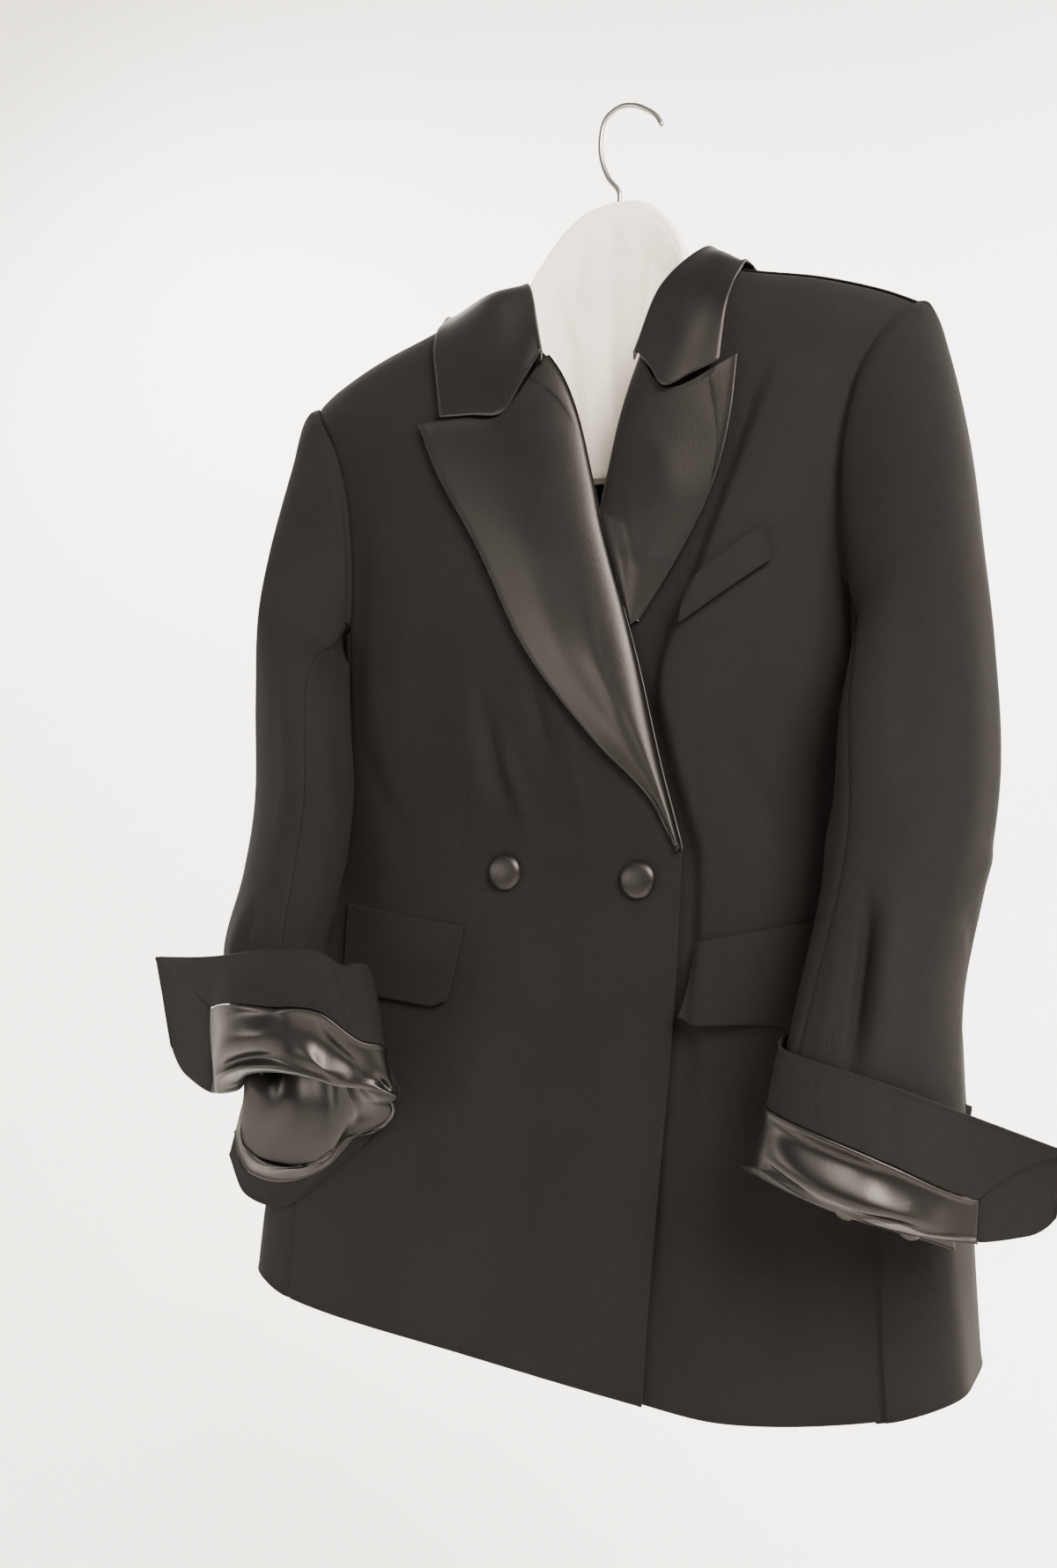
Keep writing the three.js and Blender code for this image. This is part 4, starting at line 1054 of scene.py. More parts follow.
def cuff_inside(name, u, station, inset):
    # the lining closes behind the vent
    angle = np.clip(cuff_tables[name](u)["angle"], -20, 338) + 22 * ease((u - 0.9) / 0.1)
    return sleeve_point(name, angle, station, inset)


# Folds of the cuffs' satin: millimetres round the cuff and up from the fold, at each end,
# then bow, width and depth
CUFF_ROUND = 520
CUFF_UP = 46
CUFF_CREASES = {
    "right": [
        (72, 30, 190, 37, 4, 13, 5.0),
        (96, 8, 178, 24, 4, 11, -5.4),
        (176, 30, 262, 20, 5, 12, 4.4),
        (196, 42, 286, 26, 5, 9, -4.2),
        (74, 6, 190, 6, 3, 9, 3.2),
        (206, 6, 300, 10, 4, 10, 4.4),
        (286, 26, 318, 4, 2, 8, -4.0),
        (330, 8, 400, 34, 8, 12, 4.4),
        (380, 6, 440, 36, 5, 11, -4.6),
        (420, 10, 505, 36, 6, 12, 4.6),
    ],
    "left": [
        (78, 22, 318, 24, 2, 15, 4.8),
        (150, 41, 300, 40, 3, 7, -3.4),
        (110, 7, 206, 5, -3, 9, -3.0),
        (226, 6, 306, 12, 4, 10, -3.4),
        (350, 12, 480, 34, 6, 10, 3.4),
        (400, 8, 500, 20, 5, 8, -2.8),
    ],
}
LINING_CREASES = [
    (96, -3, 130, -40, 4, 9, -4.5),
    (170, -3, 196, -40, -4, 10, 4.0),
    (250, -3, 232, -40, 4, 9, -4.0),
    (336, -3, 318, -40, 3, 9, 4.5),
    (392, -3, 372, -40, 4, 9, -5.0),
    (440, -3, 430, -40, -3, 8, 4.5),
    (486, -3, 474, -40, 3, 8, -4.5),
]


# Settings shown in the panel

class TuxedoSizes(bpy.types.PropertyGroup):
    cloth: bpy.props.FloatProperty(
        name="Cloth", description="Thickness of the wool with its interlining",
        default=0.0016, min=0.0005, max=0.004, unit="LENGTH",
    )
    satin: bpy.props.FloatProperty(
        name="Satin", description="Thickness of the satin that lines the sleeves and faces the cuffs",
        default=0.0013, min=0.0005, max=0.004, unit="LENGTH",
    )
    lapel: bpy.props.FloatProperty(
        name="Lapel", description="Thickness of a lapel and of the collar, turned at the edge",
        default=0.0018, min=0.001, max=0.005, unit="LENGTH",
    )
    front_button: bpy.props.FloatProperty(
        name="Front button", description="Radius of the covered front buttons",
        default=0.0128, min=0.008, max=0.018, unit="LENGTH",
    )
    cuff_button: bpy.props.FloatProperty(
        name="Cuff button", description="Radius of the small sleeve buttons",
        default=0.007, min=0.004, max=0.01, unit="LENGTH",
    )
    wire: bpy.props.FloatProperty(
        name="Hook wire", description="Radius of the hook's wire",
        default=0.002, min=0.001, max=0.004, unit="LENGTH",
    )
    folds: bpy.props.FloatProperty(
        name="Folds", description="How deep the creases of the cloth are, as a share of those of the real jacket",
        default=1.0, min=0.0, max=1.5, subtype="FACTOR",
    )


class TuxedoColours(bpy.types.PropertyGroup):
    wool: bpy.props.FloatVectorProperty(
        name="Wool", description="Colour of the outer cloth", subtype="COLOR", size=4, min=0, max=1,
        default=linear("151312"),
    )
    satin: bpy.props.FloatVectorProperty(
        name="Satin", description="Colour of the lapels, collar and buttons",
        subtype="COLOR", size=4, min=0, max=1,
        default=linear("060505"),
    )
    lining: bpy.props.FloatVectorProperty(
        name="Lining", description="Colour of the lining, which the turned-up cuffs show",
        subtype="COLOR", size=4,
        min=0, max=1, default=linear("050505"),
    )
    cover: bpy.props.FloatVectorProperty(
        name="Cover", description="Colour of the hanger's cotton cover",
        subtype="COLOR", size=4, min=0, max=1,
        default=linear("f6ecdc"),
    )
    wire: bpy.props.FloatVectorProperty(
        name="Wire", description="Colour of the hook", subtype="COLOR", size=4, min=0, max=1,
        default=linear("a8a49c"),
    )
    wood: bpy.props.FloatVectorProperty(
        name="Wood", description="Colour of the hanger's arms", subtype="COLOR", size=4, min=0, max=1,
        default=linear("cdb592"),
    )
    floor: bpy.props.FloatVectorProperty(
        name="Backdrop", description="Colour of the floor and backdrop",
        subtype="COLOR", size=4, min=0, max=1,
        default=linear("f7f5f2"),
    )


class TuxedoStage(bpy.types.PropertyGroup):
    floor_level: bpy.props.FloatProperty(
        name="Floor", description="Height of the floor below the hook",
        default=-1.4, min=-3, max=-1, unit="LENGTH",
    )
    key_power: bpy.props.FloatProperty(
        name="Key light", description="Power of the large soft light in front", default=262, min=0, max=400,
        unit="POWER",
    )
    fill_power: bpy.props.FloatProperty(
        name="Fill light", description="Power of the soft light on the other side",
        default=24, min=0, max=400,
        unit="POWER",
    )
    wall_power: bpy.props.FloatProperty(
        name="Backdrop lights", description="Power of the lights that face the backdrop",
        default=110, min=0, max=400,
        unit="POWER",
    )
    sky: bpy.props.FloatProperty(
        name="Even light", description="Strength of the even light from all round",
        default=0.42, min=0, max=3,
        subtype="FACTOR",
    )


# Operators, one for each group of pieces

def wall_sizes(context):
    sizes = context.scene.tuxedo_sizes
    return sizes.cloth / MM, sizes.satin / MM, sizes.lapel / MM, sizes.folds


class TUXEDO_OT_fronts(bpy.types.Operator):
    """Makes the two front panels, with their darts and drag lines"""
    bl_idname = "tuxedo.fronts"
    bl_label = "Front panels"

    def execute(self, context):
        cloth, _, _, folds = wall_sizes(context)
        finishes = [finish_of(context, "wool"), finish_of(context, "lining")]
        across, down = along(104), along(176)
        for name, side, roll, out in (("right", -1, right_roll, 0), ("left", 1, left_roll, UNDERLAP)):
            grid = front_grid(name, side, roll, out, across, down, folds)
            moves = edge_moves(grid, first=0.4, last=-0.7, top=-0.5, foot=0.5, width=2.2)
            grid = grid + outward(grid, BEHIND) * moves
            piece = cloth_wall("front_" + name, grid, cloth, BEHIND, finishes, flat_uv=True)
            dress(piece, "front_" + name)
        return {"FINISHED"}


class TUXEDO_OT_backs(bpy.types.Operator):
    """Makes the two back panels and the two side panels"""
    bl_idname = "tuxedo.backs"
    bl_label = "Back and side panels"

    def execute(self, context):
        cloth, _, _, folds = wall_sizes(context)
        finishes = [finish_of(context, "wool"), finish_of(context, "lining")]
        for name, side in (("right", -1), ("left", 1)):
            x, z = back_outline(side, along(84), along(150))
            y = np.maximum(back_y(x, z), front_y(x, z) + 2 * cloth + UNDERLAP + 1)
            # the two sides' creases differ a little
            aside, above = (4, 12) if side > 0 else (0, 0)
            y = y + folds * crease_rise(np.abs(x) + aside, z + above, BACK_CREASES)
            grid = swayed(np.stack([x, y, z], -1))
            moves = edge_moves(grid, first=-0.8, last=-0.7, foot=0.5, width=2.0)
            grid = grid + np.array([0, 1.0, 0]) * moves
            if side > 0:
                grid = tucked(grid, outward(grid, BEFORE), "first")
            grid = self.over_shoulder(grid, cloth)
            piece = cloth_wall("back_" + name, grid, cloth, BEFORE, finishes, flat_uv=True)
            dress(piece, "back_" + name)
            away = (0, -50, -650)
            grid = swayed(side_grid(side, along(40), along(110)))
            normal = outward(grid, away)
            rise = folds * crease_rise(grid[..., 1], grid[..., 2], [
                (-60, -470, -30, -600, 6, 14, -2.0), (-20, -560, -60, -700, 6, 15, 1.8),
                (-46, -680, -52, -880, 5, 16, 1.8), (-74, -640, -84, -880, -4, 13, -1.6),
            ])
            rise = rise + edge_moves(grid, first=-0.7, last=-0.7, top=-0.4, foot=0.5, width=2.0)[..., 0]
            grid = grid + normal * rise[..., None]
            for edge in ("first", "last"):
                grid = tucked(grid, outward(grid, away), edge)
            piece = cloth_wall("side_" + name, grid, cloth, away, finishes)
            dress(piece, "side_" + name)
        return {"FINISHED"}

    def over_shoulder(self, grid, cloth):
        """Carries the back's top edge forward over the shoulder to the front's own edge."""
        edge = grid[:, 0]
        x, z = edge[:, 0], edge[:, 2]
        on_seam = ease((np.abs(x) - NECK_POINT) / 6)
        front = mix(edge[:, 1], np.minimum(front_y(x, z) + cloth + 2 * SEAM, edge[:, 1]), on_seam)
        rows = []
        for share in (0.0, 0.3, 0.6, 0.85):
            arch = mix(1.6 - 1.6 * share, 1.4 * math.sin(math.pi * (0.25 + 0.5 * share)), on_seam)
            rows.append(np.stack([x, mix(front, edge[:, 1], share), z + arch], -1))
        return np.concatenate([np.swapaxes(np.array(rows), 0, 1), grid], 1)


class TUXEDO_OT_lapels(bpy.types.Operator):
    """Makes the peak lapels and the collar in satin"""
    bl_idname = "tuxedo.lapels"
    bl_label = "Lapels and collar"

    def execute(self, context):
        _, _, lapel, folds = wall_sizes(context)
        satin = [finish_of(context, "satin")]
        across, down = along(64, 0.006), along(130)
        for name, out in (("right", 0), ("left", UNDERLAP)):
            if name == "right":
                grid = lapel_grid(
                    lambda z: right_roll(z)["x"], right_lapel_edge, 1.0, right_gorge, -213, -560, across, down,
                )
            else:
                grid = lapel_grid(
                    lambda z: np.maximum(left_roll(z)["x"], right_roll(z)["x"] + 1.4), left_lapel_edge, 0.8,
                    left_gorge, -223, -408, across, down,
                )
            x, z, rise, s, t = grid
            swell = 0.5 * bell((1 - s) * 80, 2.2) + 0.5 * bell(t * 120, 2.2) * ease((s - 0.3) / 0.3)
            soft = folds * 1.2 * crease_rise(s * 100, t * 300, [
                (30, 40, 70, 190, 8, 18, 1.0), (60, 150, 30, 280, -8, 14, -0.8), (20, 120, 44, 240, 5, 10, 0.7),
            ])
            y = on_front(x, z, name, out) - rise - swell - soft
            points = np.stack([x, y, z], -1)
            points = rolled_edge(points, LAPEL_SEAT / 2, 6) if name == "right" else points
            piece = cloth_wall("lapel_" + name, points, lapel, BEHIND, satin)
            dress(piece, "lapel_" + name)
        grid = collar_grid(np.linspace(-1, 1, 181), 30, 12)
        piece = cloth_wall("collar", grid, lapel, (0, -40, -260), satin)
        dress(piece, "collar")
        return {"FINISHED"}


POCKETS = [
    ("flap_right", "right", [(-77, -614), (-184, -601), (-181, -664), (-90, -672)], 0, 2.0, 0.0, 0.0),
    ("flap_left", "left", [(100, -619), (186, -602), (176, -667), (91, -671)], UNDERLAP, 2.0, 9.0, 1.8),
    ("breast_welt", "left", [(94, -387), (146, -350), (150, -373), (92, -411)], UNDERLAP, 0.0, 0.0, 2.6),
]


class TUXEDO_OT_pockets(bpy.types.Operator):
    """Makes the two pocket flaps and the breast welt"""
    bl_idname = "tuxedo.pockets"
    bl_label = "Flaps and welt"

    def execute(self, context):
        cloth = wall_sizes(context)[0]
        wool = [finish_of(context, "wool")]
        for name, front, corners, out, swing, stand_in, base in POCKETS:
            (ax, az), (bx, bz), (cx, cz), (dx, dz) = corners
            s, t = np.meshgrid(along(50, 0.006), along(30, 0.012), indexing="ij")
            is_flap = name.startswith("flap")
            # the foot of a flap has softly rounded corners
            round_in = 5 * (bell(s * 90, 7) + bell((1 - s) * 90, 7)) * (1 if is_flap else 0)
            x = mix(mix(ax, bx, s), mix(dx, cx, s), t)
            z = mix(mix(az, bz, s), mix(dz, cz, s), t) + round_in * t**6
            stand = (swing + stand_in * (1 - s) ** 2) * t + base
            stand = stand + 0.35 * (bell(t * 60 - 60, 2) + bell(s * 90, 2) + bell(s * 90 - 90, 2))
            if is_flap:
                stand = stand + 0.9 * np.sin(s * 7.0 + 0.6) * t**2 * 0.6
            y = on_front(x, z, front, out) - cloth - 0.4 - stand
            grid = swayed(np.stack([x, y, z], -1))
            piece = cloth_wall(name, grid, cloth, BEHIND, wool, flat_uv=True)
            dress(piece, name)
        return {"FINISHED"}


class TUXEDO_OT_sleeves(bpy.types.Operator):
    """Makes the two pieces of each sleeve"""
    bl_idname = "tuxedo.sleeves"
    bl_label = "Sleeves"

    def execute(self, context):
        cloth, _, _, folds = wall_sizes(context)
        finishes = [finish_of(context, "wool"), finish_of(context, "lining")]
        stations = along(140, 0.002) * SLEEVE_END
        for name in ("right", "left"):
            for part, start, end, count in (
                ("upper", BACK_SEAM - 360, FRONT_SEAM, 92), ("under", FRONT_SEAM, BACK_SEAM, 76),
            ):
                degrees = mix(start + SEAM_TURN, end - SEAM_TURN, along(count, 0.004))
                a, b = np.meshgrid(degrees, stations, indexing="ij")
                grid = sleeve_point(name, a, b)
                height = sleeve_rings[name](b)["z"]
                rise = folds * crease_rise(a * GIRTH, height, [
                    (d0 * GIRTH, z0, d1 * GIRTH, z1, bow, width, depth)
                    for d0, z0, d1, z1, bow, width, depth in SLEEVE_CREASES[name]
                ])
                rise = rise * ease(b / 1.2)
                # the sleeve head is eased into the armhole, so it stands up in small waves beside the seam
                head = bell(a - 10, 75) if part == "upper" else np.zeros_like(a)
                waves = 1.5 + 0.25 * np.sin(a * 0.42) + 0.15 * np.sin(a * 0.93 + 1)
                rise = rise + head * bell(b - 0.42, 0.4) * waves
                rise = rise + edge_moves(grid, first=-0.7, last=-0.7, top=-0.9, width=2.0)[..., 0]
                centre = np.stack([sleeve_rings[name](b)[k] for k in "xyz"], -1)
                centre[..., 0] *= 1 if name == "left" else -1
                grid = grid + outward(grid, centre) * rise[..., None]
                sign = 1 if np.sum(grid_normals(grid) * (grid - centre)) > 0 else -1
                for edge in () if part == "upper" else ("first", "last"):
                    grid = tucked(grid, sign * grid_normals(grid), edge)
                grid = turned_in(grid, 1 if name == "left" else -1)
                grid = grid[::sign]
                back = grid - grid_normals(grid) * cloth
                piece = tube_wall(f"sleeve_{part}_{name}", grid, back, cloth, finishes)
                dress(piece, f"sleeve_{part}_{name}")
        return {"FINISHED"}


def tube_wall(name, grid, back, thickness, finishes):
    """A cloth wall whose grid already faces out."""
    inner_side = grid - grid_normals(grid)
    return cloth_wall(name, grid, thickness, inner_side, finishes, back=back)


class TUXEDO_OT_cuffs(bpy.types.Operator):
    """Makes the turned-up cuffs: satin over the fold, and the cloth facing at the edge and the vent"""
    bl_idname = "tuxedo.cuffs"
    bl_label = "Turned-up cuffs"

    def execute(self, context):
        cloth, satin, _, folds = wall_sizes(context)
        lining, wool = [finish_of(context, "lining")], [finish_of(context, "wool")]
        for name, side in (("right", -1), ("left", 1)):
            axis = np.array([side * 205.0, -140, -735])
            u = mix(VENT_FACING + VENT_GAP, 1, along(150, 0.003))
            share = cuff_tables[name](u)["satin"]
            inset = cloth + satin + 1.6
            rows = [cuff_inside(name, u, station, inset) for station in (8.8, 9.2, 9.7)]
            rows += [cuff_point(name, u, v * share) for v in (0.0, 0.15, 0.33, 0.66, 0.99)]
            grid = relaxed(np.swapaxes(through(np.array(rows), 84), 0, 1), 12)
            v = (np.linspace(0, len(rows) - 1, 85) - 3) / (len(rows) - 4)
            a, b = np.meshgrid(u, v, indexing="ij")
            rise = folds * crease_rise(a * CUFF_ROUND, b * CUFF_UP, CUFF_CREASES[name])
            rise = rise * ease((b - 0.02) / 0.3) * ease((1.02 - b) / 0.12) * ease((a - 0.125) / 0.03)
            inner = folds * crease_rise(a * CUFF_ROUND, b * CUFF_UP, LINING_CREASES)
            rise = rise - inner * ease((-0.04 - b) / 0.16)
            # the satin's edge is piped where it meets the facing
            rise = rise + 0.9 * bell((b - 0.97) * CUFF_UP, 1.5) * ease((a - VENT_FACING - 0.004) / 0.012)
            outer_half = np.sum(grid_normals(grid)[:, 50:] * (grid[:, 50:] - axis))
            sign = 1 if outer_half > 0 else -1
            grid = relaxed(grid + sign * grid_normals(grid) * rise[..., None], 2)
            grid = grid[::sign]
            piece = tube_wall("cuff_satin_" + name, grid, grid - grid_normals(grid) * satin, satin, lining)
            dress(piece, "cuff_satin_" + name)

            corner = float(cuff_tables[name](VENT_FACING)["satin"])
            s, t = np.meshgrid(along(150, 0.003), along(34, 0.01), indexing="ij")
            # the mitred seam runs from the satin's corner to the upper corner of the free end
            mitre = VENT_FACING * (np.clip(1 - t, 0.01, 1) - 1)
            a = mix(VENT_FACING + VENT_GAP, 1, s) + mitre * np.clip(1 - s / MITRE_FADE, 0, 1)
            grid = relaxed(cuff_point(name, a, mix(cuff_tables[name](a)["satin"] + 0.008, 1, t)), 8)
            seam_at = {"left": 0.47, "right": 0.5}[name]
            seam = -0.9 * bell((a - seam_at - 0.012 * t) * CUFF_ROUND, 1.0)
            self.band("cuff_facing_" + name, grid, seam, cloth, axis, wool, dict(foot=0.5), name, MITRE_COLUMNS)
            a, t = np.meshgrid(along(44, 0.006), along(52, 0.01), indexing="ij")
            # the free end's lower corner is rounded, and its upper one is mitred
            low = 0.2 * (1 - np.sqrt(1 - np.clip(1 - a / 0.3, 0, 1) ** 2))
            end = VENT_FACING * np.clip((1 - mix(low, 1, t)) / (1 - corner), 0.01, 1)
            grid = relaxed(cuff_point(name, a * (end - VENT_GAP * end / VENT_FACING), mix(low, 1, t)), 2)
            seam = np.zeros_like(a)
            turned = dict(first=0.5, last=-0.4, foot=0.5)
            self.band("cuff_vent_" + name, grid, seam, cloth, axis, wool, turned, name)
        return {"FINISHED"}

    def band(self, piece_name, grid, seam, cloth, axis, finishes, moves, name, slanted=0):
        rise = seam[..., None] + edge_moves(grid, width=2.0, **moves)
        sign = 1 if np.sum(grid_normals(grid) * (grid - axis)) > 0 else -1
        grid = (grid + sign * grid_normals(grid) * rise)[::sign]
        piece = tube_wall(piece_name, grid, grid - grid_normals(grid) * cloth, cloth, finishes)
        dress(piece, piece_name)


BUTTON_PROFILE = [
    (0, 1.0), (0.3, 0.985), (0.55, 0.92), (0.76, 0.82), (0.88, 0.68), (0.96, 0.52), (1.0, 0.36), (0.985, 0.24),
    (0.9, 0.16), (0.6, 0.12), (0.3, 0.1), (0.3, 0), (0, 0),
]
CUFF_BUTTON_ABOVE = 0.1


class TUXEDO_OT_buttons(bpy.types.Operator):
    """Makes the covered buttons of the front and of the wearer's left sleeve"""
    bl_idname = "tuxedo.buttons"
    bl_label = "Buttons"

    def execute(self, context):
        sizes = context.scene.tuxedo_sizes
        satin = finish_of(context, "satin")
        cloth, lining_wall = sizes.cloth / MM, sizes.satin / MM
        for name, x, z in (("front_button_1", -43, -575), ("front_button_2", 58, -579)):
            seat = (x, float(on_front(np.array(x), np.array(z), "right", 0)) - SEAM, z)
            self.button(name, seat, (0, -1, 0), sizes.front_button / MM, 6, satin)
        for name, u in (("cuff_button_1", 0.845), ("cuff_button_2", 0.94)):
            within = cuff_inside("left", np.array(u), 9.7, cloth + lining_wall + 1.6)
            fold = cuff_point("left", u, 0)
            beside = cuff_point("left", u + 0.02, 0)
            forward = np.cross(fold - within, beside - fold)
            forward = forward / np.linalg.norm(forward) * (-1 if forward[1] > 0 else 1)
            seat = mix(fold, within, CUFF_BUTTON_ABOVE) + forward * 2 * SEAM
            self.button(name, seat, forward, sizes.cuff_button / MM, 4, satin)
        return {"FINISHED"}

    def button(self, name, seat, forward, radius, height, satin):
        profile = through(np.array(BUTTON_PROFILE), 48)
        angle = np.linspace(0, 2 * np.pi, 97)[:-1]
        r, h = profile[:, 0:1], profile[:, 1:2]
        # the satin is gathered under the rim in small pleats
        pleat = 1 + 0.018 * np.sin(angle * 24)[None, :] * bell(h - 0.2, 0.16) * (r > 0.5)
        flat_r = np.maximum(r, 0.0) * radius * pleat
        turn = Vector((0, 0, 1)).rotation_difference(Vector(forward))
        local = np.stack([
            flat_r * np.cos(angle), flat_r * np.sin(angle), h * height * np.ones_like(angle),
        ], -1)
        inner = local[1:-1]
        matrix = np.array(turn.to_matrix())
        points = inner.reshape(-1, 3) @ matrix.T + np.asarray(seat)
        n, m = inner.shape[:2]
        index = np.arange(n * m).reshape(n, m)
        side = np.stack([index[:-1], index[1:], np.roll(index[1:], -1, 1), np.roll(index[:-1], -1, 1)], -1)
        faces = side.reshape(-1, 4).tolist() + [index[0].tolist(), index[-1][::-1].tolist()]
        uv = inner[..., :2].reshape(-1, 2) * MM
        piece = new_piece(name, points, faces, uv, [satin])
        dress(piece, name)


arm_line = size_table(("forward",), [
    (0, 2), (30, 4), (50, 9), (62, 17), (70, 27), (82, 44), (100, 53), (205, 57),
])
cover_top = size_table(("z",), [
    (0, -72), (22, -76), (38, -87), (50, -102), (62, -126), (68, -151), (76, -160), (100, -168), (150, -187),
    (205, -212),
])
COVER_HEM = -282
COVER_REACH = 203
COVER_HALF = 10.6
COVER_PATH = [
    (-1, 0), (-1, 0.25), (-1, 0.5), (-1, 0.75), (-0.96, 0.9), (-0.62, 0.985), (0, 1), (0.62, 0.985), (0.96, 0.9),
    (1, 0.6), (1, 0.3), (1, 0),
]
HOOK_LINE = [
    (2, -71.6), (1.5, -62), (-7, -50), (-12.5, -34), (-13, -18), (-8.5, -4), (3, 2.2), (15, 0.6), (25, -5),
    (33, -12), (38, -21),
]


class TUXEDO_OT_hanger(bpy.types.Operator):
    """Makes the hanger's cotton cover and wire hook, and finishes its arms"""
    bl_idname = "tuxedo.hanger"
    bl_label = "Hanger"

    def execute(self, context):
        cloth, _, _, folds = wall_sizes(context)
        cotton = [finish_of(context, "cotton")]
        x = COVER_REACH * np.sin(np.linspace(-1, 1, 231) * np.pi / 2)
        path = through(np.array(COVER_PATH, float), 110)
        across, up = path[:, 0], np.clip(path[:, 1], 0, 1)
        xs, sides = np.meshgrid(x, across, indexing="ij")
        ups = np.broadcast_to(up, xs.shape)
        top = cover_top(np.abs(xs))["z"]
        half = mix(2.4, COVER_HALF, ease((COVER_REACH - np.abs(xs)) / 24))
        pinch = np.where(ups > 0.8, 1, 0.8 + 0.2 * ups)
        front = ease(-sides * 3)
        hang = (1 - ups) * (1 - (xs / COVER_REACH) ** 2)
        wave = front * hang * (2.0 * np.sin(xs * 0.085 + 0.4) + 1.2 * np.sin(xs * 0.19 + 1.9))
        wave += (1 - front) * hang * (1.6 * np.sin(xs * 0.07 + 1.1) + 0.8 * np.sin(xs * 0.16))
        z = mix(COVER_HEM, top, ups)
        creases = crease_rise(xs, z, [
            (-40, -110, -14, -200, 5, 5, 1.2), (34, -104, 20, -190, -4, 5, 1.1), (-12, -86, -30, -150, 3, 4, -0.9),
            (8, -84, 26, -128, 3, 4, 0.8), (-2, -170, 6, -270, 3, 6, -1.4), (22, -180, 14, -276, 2, 5, 1.2),
            (-24, -190, -20, -278, -2, 5, 1.2),
        ])
        seam = bell(z - (top - 9), 0.9) * ease((70 - np.abs(xs)) / 12)
        hem_line = bell(z - (COVER_HEM + 13), 0.8)
        rise = folds * creases - 0.7 * seam - 0.6 * hem_line
        y = -arm_line(np.abs(xs))["forward"] + sides * half * pinch
        y = y + np.sign(sides) * rise * 0.9 + folds * wave * 0.8
        grid = np.stack([xs, y, z], -1)
        piece = cloth_wall("hanger_cover", grid, cloth, (0, -10, -260), cotton)
        dress(piece, "hanger_cover")

        line = through(np.array([(px, 0, pz) for px, pz in HOOK_LINE], float), 150)
        tangent = np.gradient(line, axis=0)
        tangent /= np.linalg.norm(tangent, axis=1, keepdims=True)
        sideways = np.array([0, 1.0, 0])
        upward = np.cross(tangent, sideways)
        angle = np.linspace(0, 2 * np.pi, 25)[:-1]
        radius = context.scene.tuxedo_sizes.wire / MM * np.ones(len(line))
        radius[-4:] *= [0.98, 0.9, 0.72, 0.4]
        rings = line[:, None] + radius[:, None, None] * (
            sideways * np.cos(angle)[None, :, None] + upward[:, None] * np.sin(angle)[None, :, None]
        )
        piece = closed_bar("hanger_hook", rings, [finish_of(context, "wire")])
        dress(piece, "hanger_hook")
        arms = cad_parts["hanger_arms"]
        arms.data.materials.clear()
        arms.data.materials.append(finish_of(context, "beech"))
        return {"FINISHED"}


LIGHTS = [
    # name, place, aim, width, height, which power it takes, share of that power
    ("key", (1.75, -1.6, 0.85), (0.05, 0, -0.4), 1.2, 1.4, "key", 1.0),
    ("low", (-1.45, -1.8, -0.5), (0.0, 0, -0.5), 0.9, 0.45, "fill", 0.9),
    ("rim left", (-1.6, 1.3, 0.5), (0.0, 0, -0.4), 0.8, 1.4, "fill", 1.2),
    ("rim right", (1.6, 1.3, 0.5), (0.0, 0, -0.4), 0.8, 1.4, "fill", 0.5),
    ("wall left", (-1.2, 0.9, 0.9), (-0.9, 2.7, -0.5), 1.2, 1.2, "wall", 0.9),
    ("wall right", (1.0, 0.9, 0.9), (0.6, 2.7, -0.5), 1.2, 1.2, "wall", 1.3),
]
CAMERA_PLACE = (0.425539, -0.946960, -0.536334)
CAMERA_TURN = (28.13871, 1.34167, -0.51692)  # azimuth, elevation and roll in degrees
CAMERA_LENS = 31.58


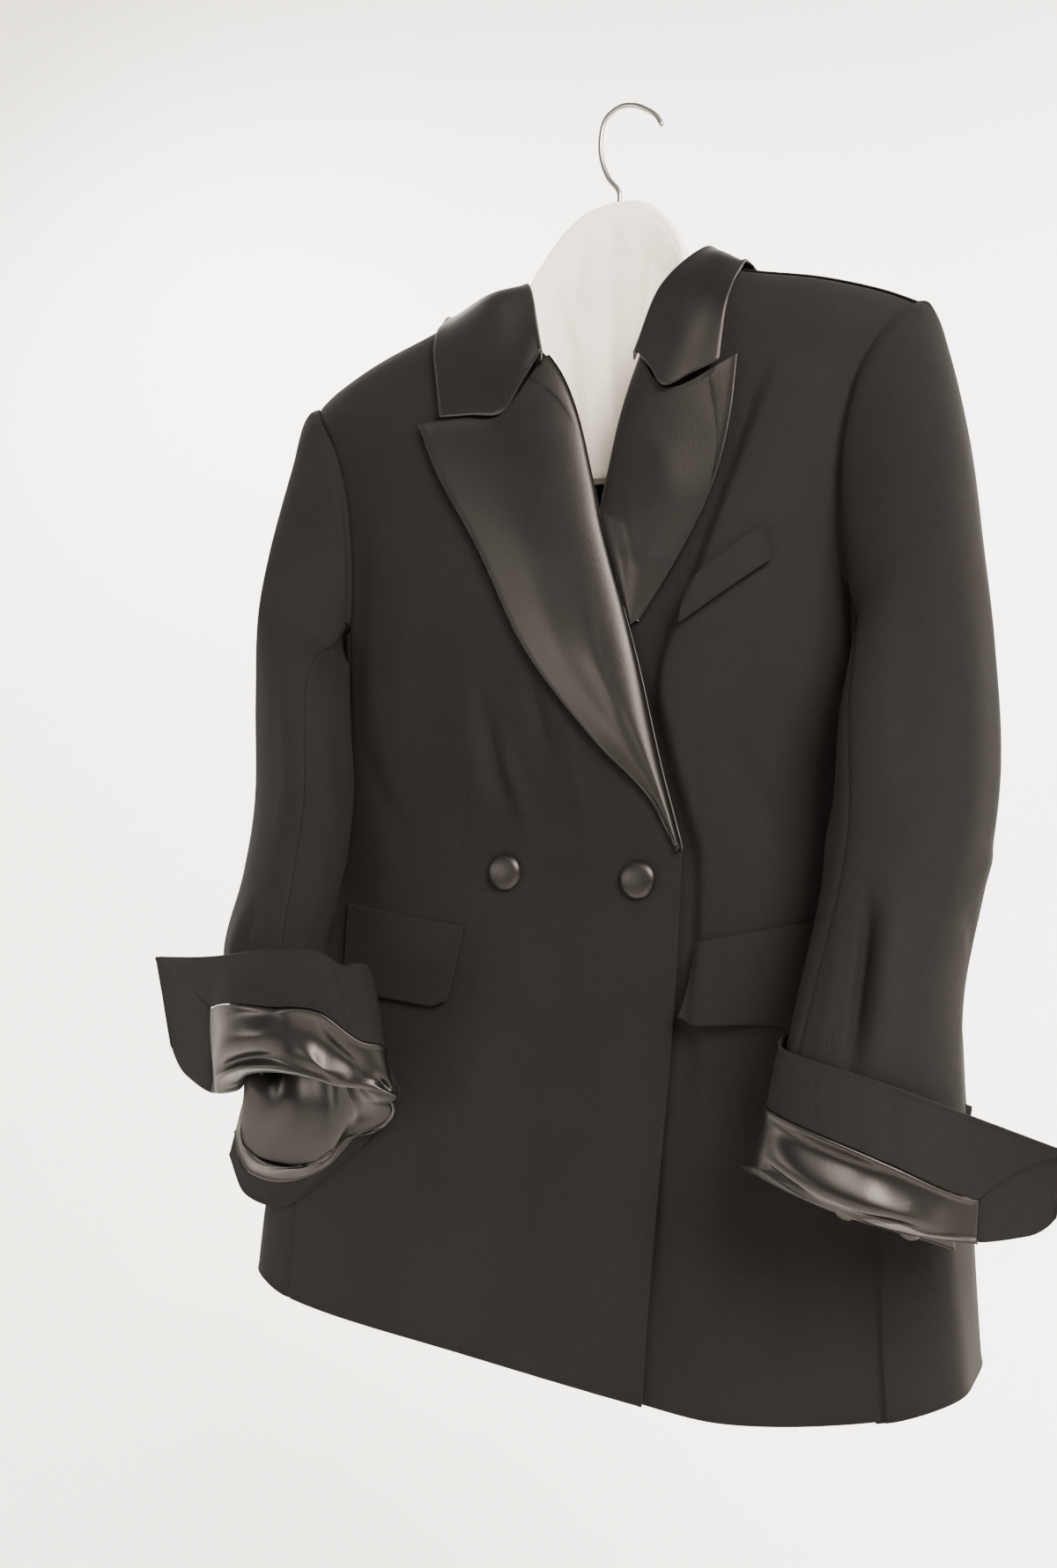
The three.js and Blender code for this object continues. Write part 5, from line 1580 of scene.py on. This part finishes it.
class TUXEDO_OT_stage(bpy.types.Operator):
    """Sets the floor and backdrop, the soft lights and the camera"""
    bl_idname = "tuxedo.stage"
    bl_label = "Stage"

    def execute(self, context):
        stage = context.scene.tuxedo_stage
        floor = stage.floor_level / MM
        radius, cove, height = 2700.0, 900.0, 4200.0
        turn = np.linspace(0, np.pi / 2, 13)
        profile = [(r, floor) for r in (1, 600, 1400, 1790)]
        profile += [(radius - cove + cove * math.sin(a), floor + cove - cove * math.cos(a)) for a in turn]
        profile += [(radius, floor + cove + 400), (radius, floor + height)]
        angle = np.linspace(0, 2 * np.pi, 97)
        profile = np.array(profile)
        # the wall stands behind the jacket only, and falls away to the floor in front
        behind = ease((np.sin(angle) + 0.35) / 0.3)
        level = mix(floor, profile[:, 1:2], behind)
        rings = np.stack([profile[:, 0:1] * np.cos(angle), profile[:, 0:1] * np.sin(angle), level], -1)
        n, m = rings.shape[:2]
        index = np.arange(n * m).reshape(n, m)
        faces = np.stack([index[:-1, :-1], index[1:, :-1], index[1:, 1:], index[:-1, 1:]], -1)
        faces = faces.reshape(-1, 4).tolist()
        points = rings.reshape(-1, 3)
        sweep = new_piece("backdrop", points, faces, points[:, :2] * MM, [finish_of(context, "paper")])

        world = bpy.data.worlds.new("even light")
        world.use_nodes = True
        world.node_tree.nodes["Background"].inputs[0].default_value = linear("fffcf8")
        world.node_tree.nodes["Background"].inputs[1].default_value = stage.sky
        context.scene.world = world

        powers = {"key": stage.key_power, "fill": stage.fill_power, "wall": stage.wall_power}
        for name, place, aim, width, tall, power, share in LIGHTS:
            data = bpy.data.lights.new(name, "AREA")
            data.shape = "RECTANGLE"
            data.size, data.size_y = width, tall
            data.energy = powers[power] * share
            data.color = linear("fff8f0")[:3]
            light = bpy.data.objects.new(name, data)
            light.location = place
            light.rotation_euler = (Vector(aim) - Vector(place)).to_track_quat("-Z", "Y").to_euler()
            context.scene.collection.objects.link(light)

        azimuth, elevation, roll = (math.radians(v) for v in CAMERA_TURN)
        forward = Vector((
            -math.sin(azimuth) * math.cos(elevation),
            math.cos(azimuth) * math.cos(elevation),
            math.sin(elevation),
        ))
        right = forward.cross(Vector((0, 0, 1))).normalized()
        up = right.cross(forward)
        turned_right = right * math.cos(roll) + up * math.sin(roll)
        turned_up = up * math.cos(roll) - right * math.sin(roll)
        data = bpy.data.cameras.new("camera")
        data.lens = CAMERA_LENS
        data.sensor_width = 36
        data.clip_start = 0.02
        camera = bpy.data.objects.new("camera", data)
        axes = Matrix((turned_right, turned_up, -forward)).transposed()
        camera.matrix_world = Matrix.Translation(Vector(CAMERA_PLACE)) @ axes.to_4x4()
        context.scene.collection.objects.link(camera)
        context.scene.camera = camera
        return {"FINISHED"}


OPERATORS = (
    TUXEDO_OT_stage, TUXEDO_OT_fronts, TUXEDO_OT_backs, TUXEDO_OT_lapels, TUXEDO_OT_pockets, TUXEDO_OT_sleeves,
    TUXEDO_OT_cuffs, TUXEDO_OT_buttons, TUXEDO_OT_hanger,
)


class TUXEDO_PT_panel(bpy.types.Panel):
    """Lists the sizes, the colours and the steps that make the jacket"""
    bl_idname = "TUXEDO_PT_panel"
    bl_label = "Tuxedo jacket"
    bl_space_type = "VIEW_3D"
    bl_region_type = "UI"
    bl_category = "Tuxedo"

    def draw(self, context):
        layout = self.layout
        for settings in (context.scene.tuxedo_sizes, context.scene.tuxedo_colours, context.scene.tuxedo_stage):
            box = layout.box()
            for key in settings.__annotations__:
                box.prop(settings, key)
        for operator in OPERATORS:
            layout.operator(operator.bl_idname)


CLASSES = (TuxedoSizes, TuxedoColours, TuxedoStage) + OPERATORS + (TUXEDO_PT_panel,)


def register():
    for item in CLASSES:
        bpy.utils.register_class(item)
    bpy.types.Scene.tuxedo_sizes = bpy.props.PointerProperty(type=TuxedoSizes)
    bpy.types.Scene.tuxedo_colours = bpy.props.PointerProperty(type=TuxedoColours)
    bpy.types.Scene.tuxedo_stage = bpy.props.PointerProperty(type=TuxedoStage)


def unregister():
    del bpy.types.Scene.tuxedo_stage
    del bpy.types.Scene.tuxedo_colours
    del bpy.types.Scene.tuxedo_sizes
    for item in reversed(CLASSES):
        bpy.utils.unregister_class(item)


def main():
    register()
    for operator in OPERATORS:
        group, name = operator.bl_idname.split(".")
        getattr(getattr(bpy.ops, group), name)()


if __name__ == "__main__":
    main()
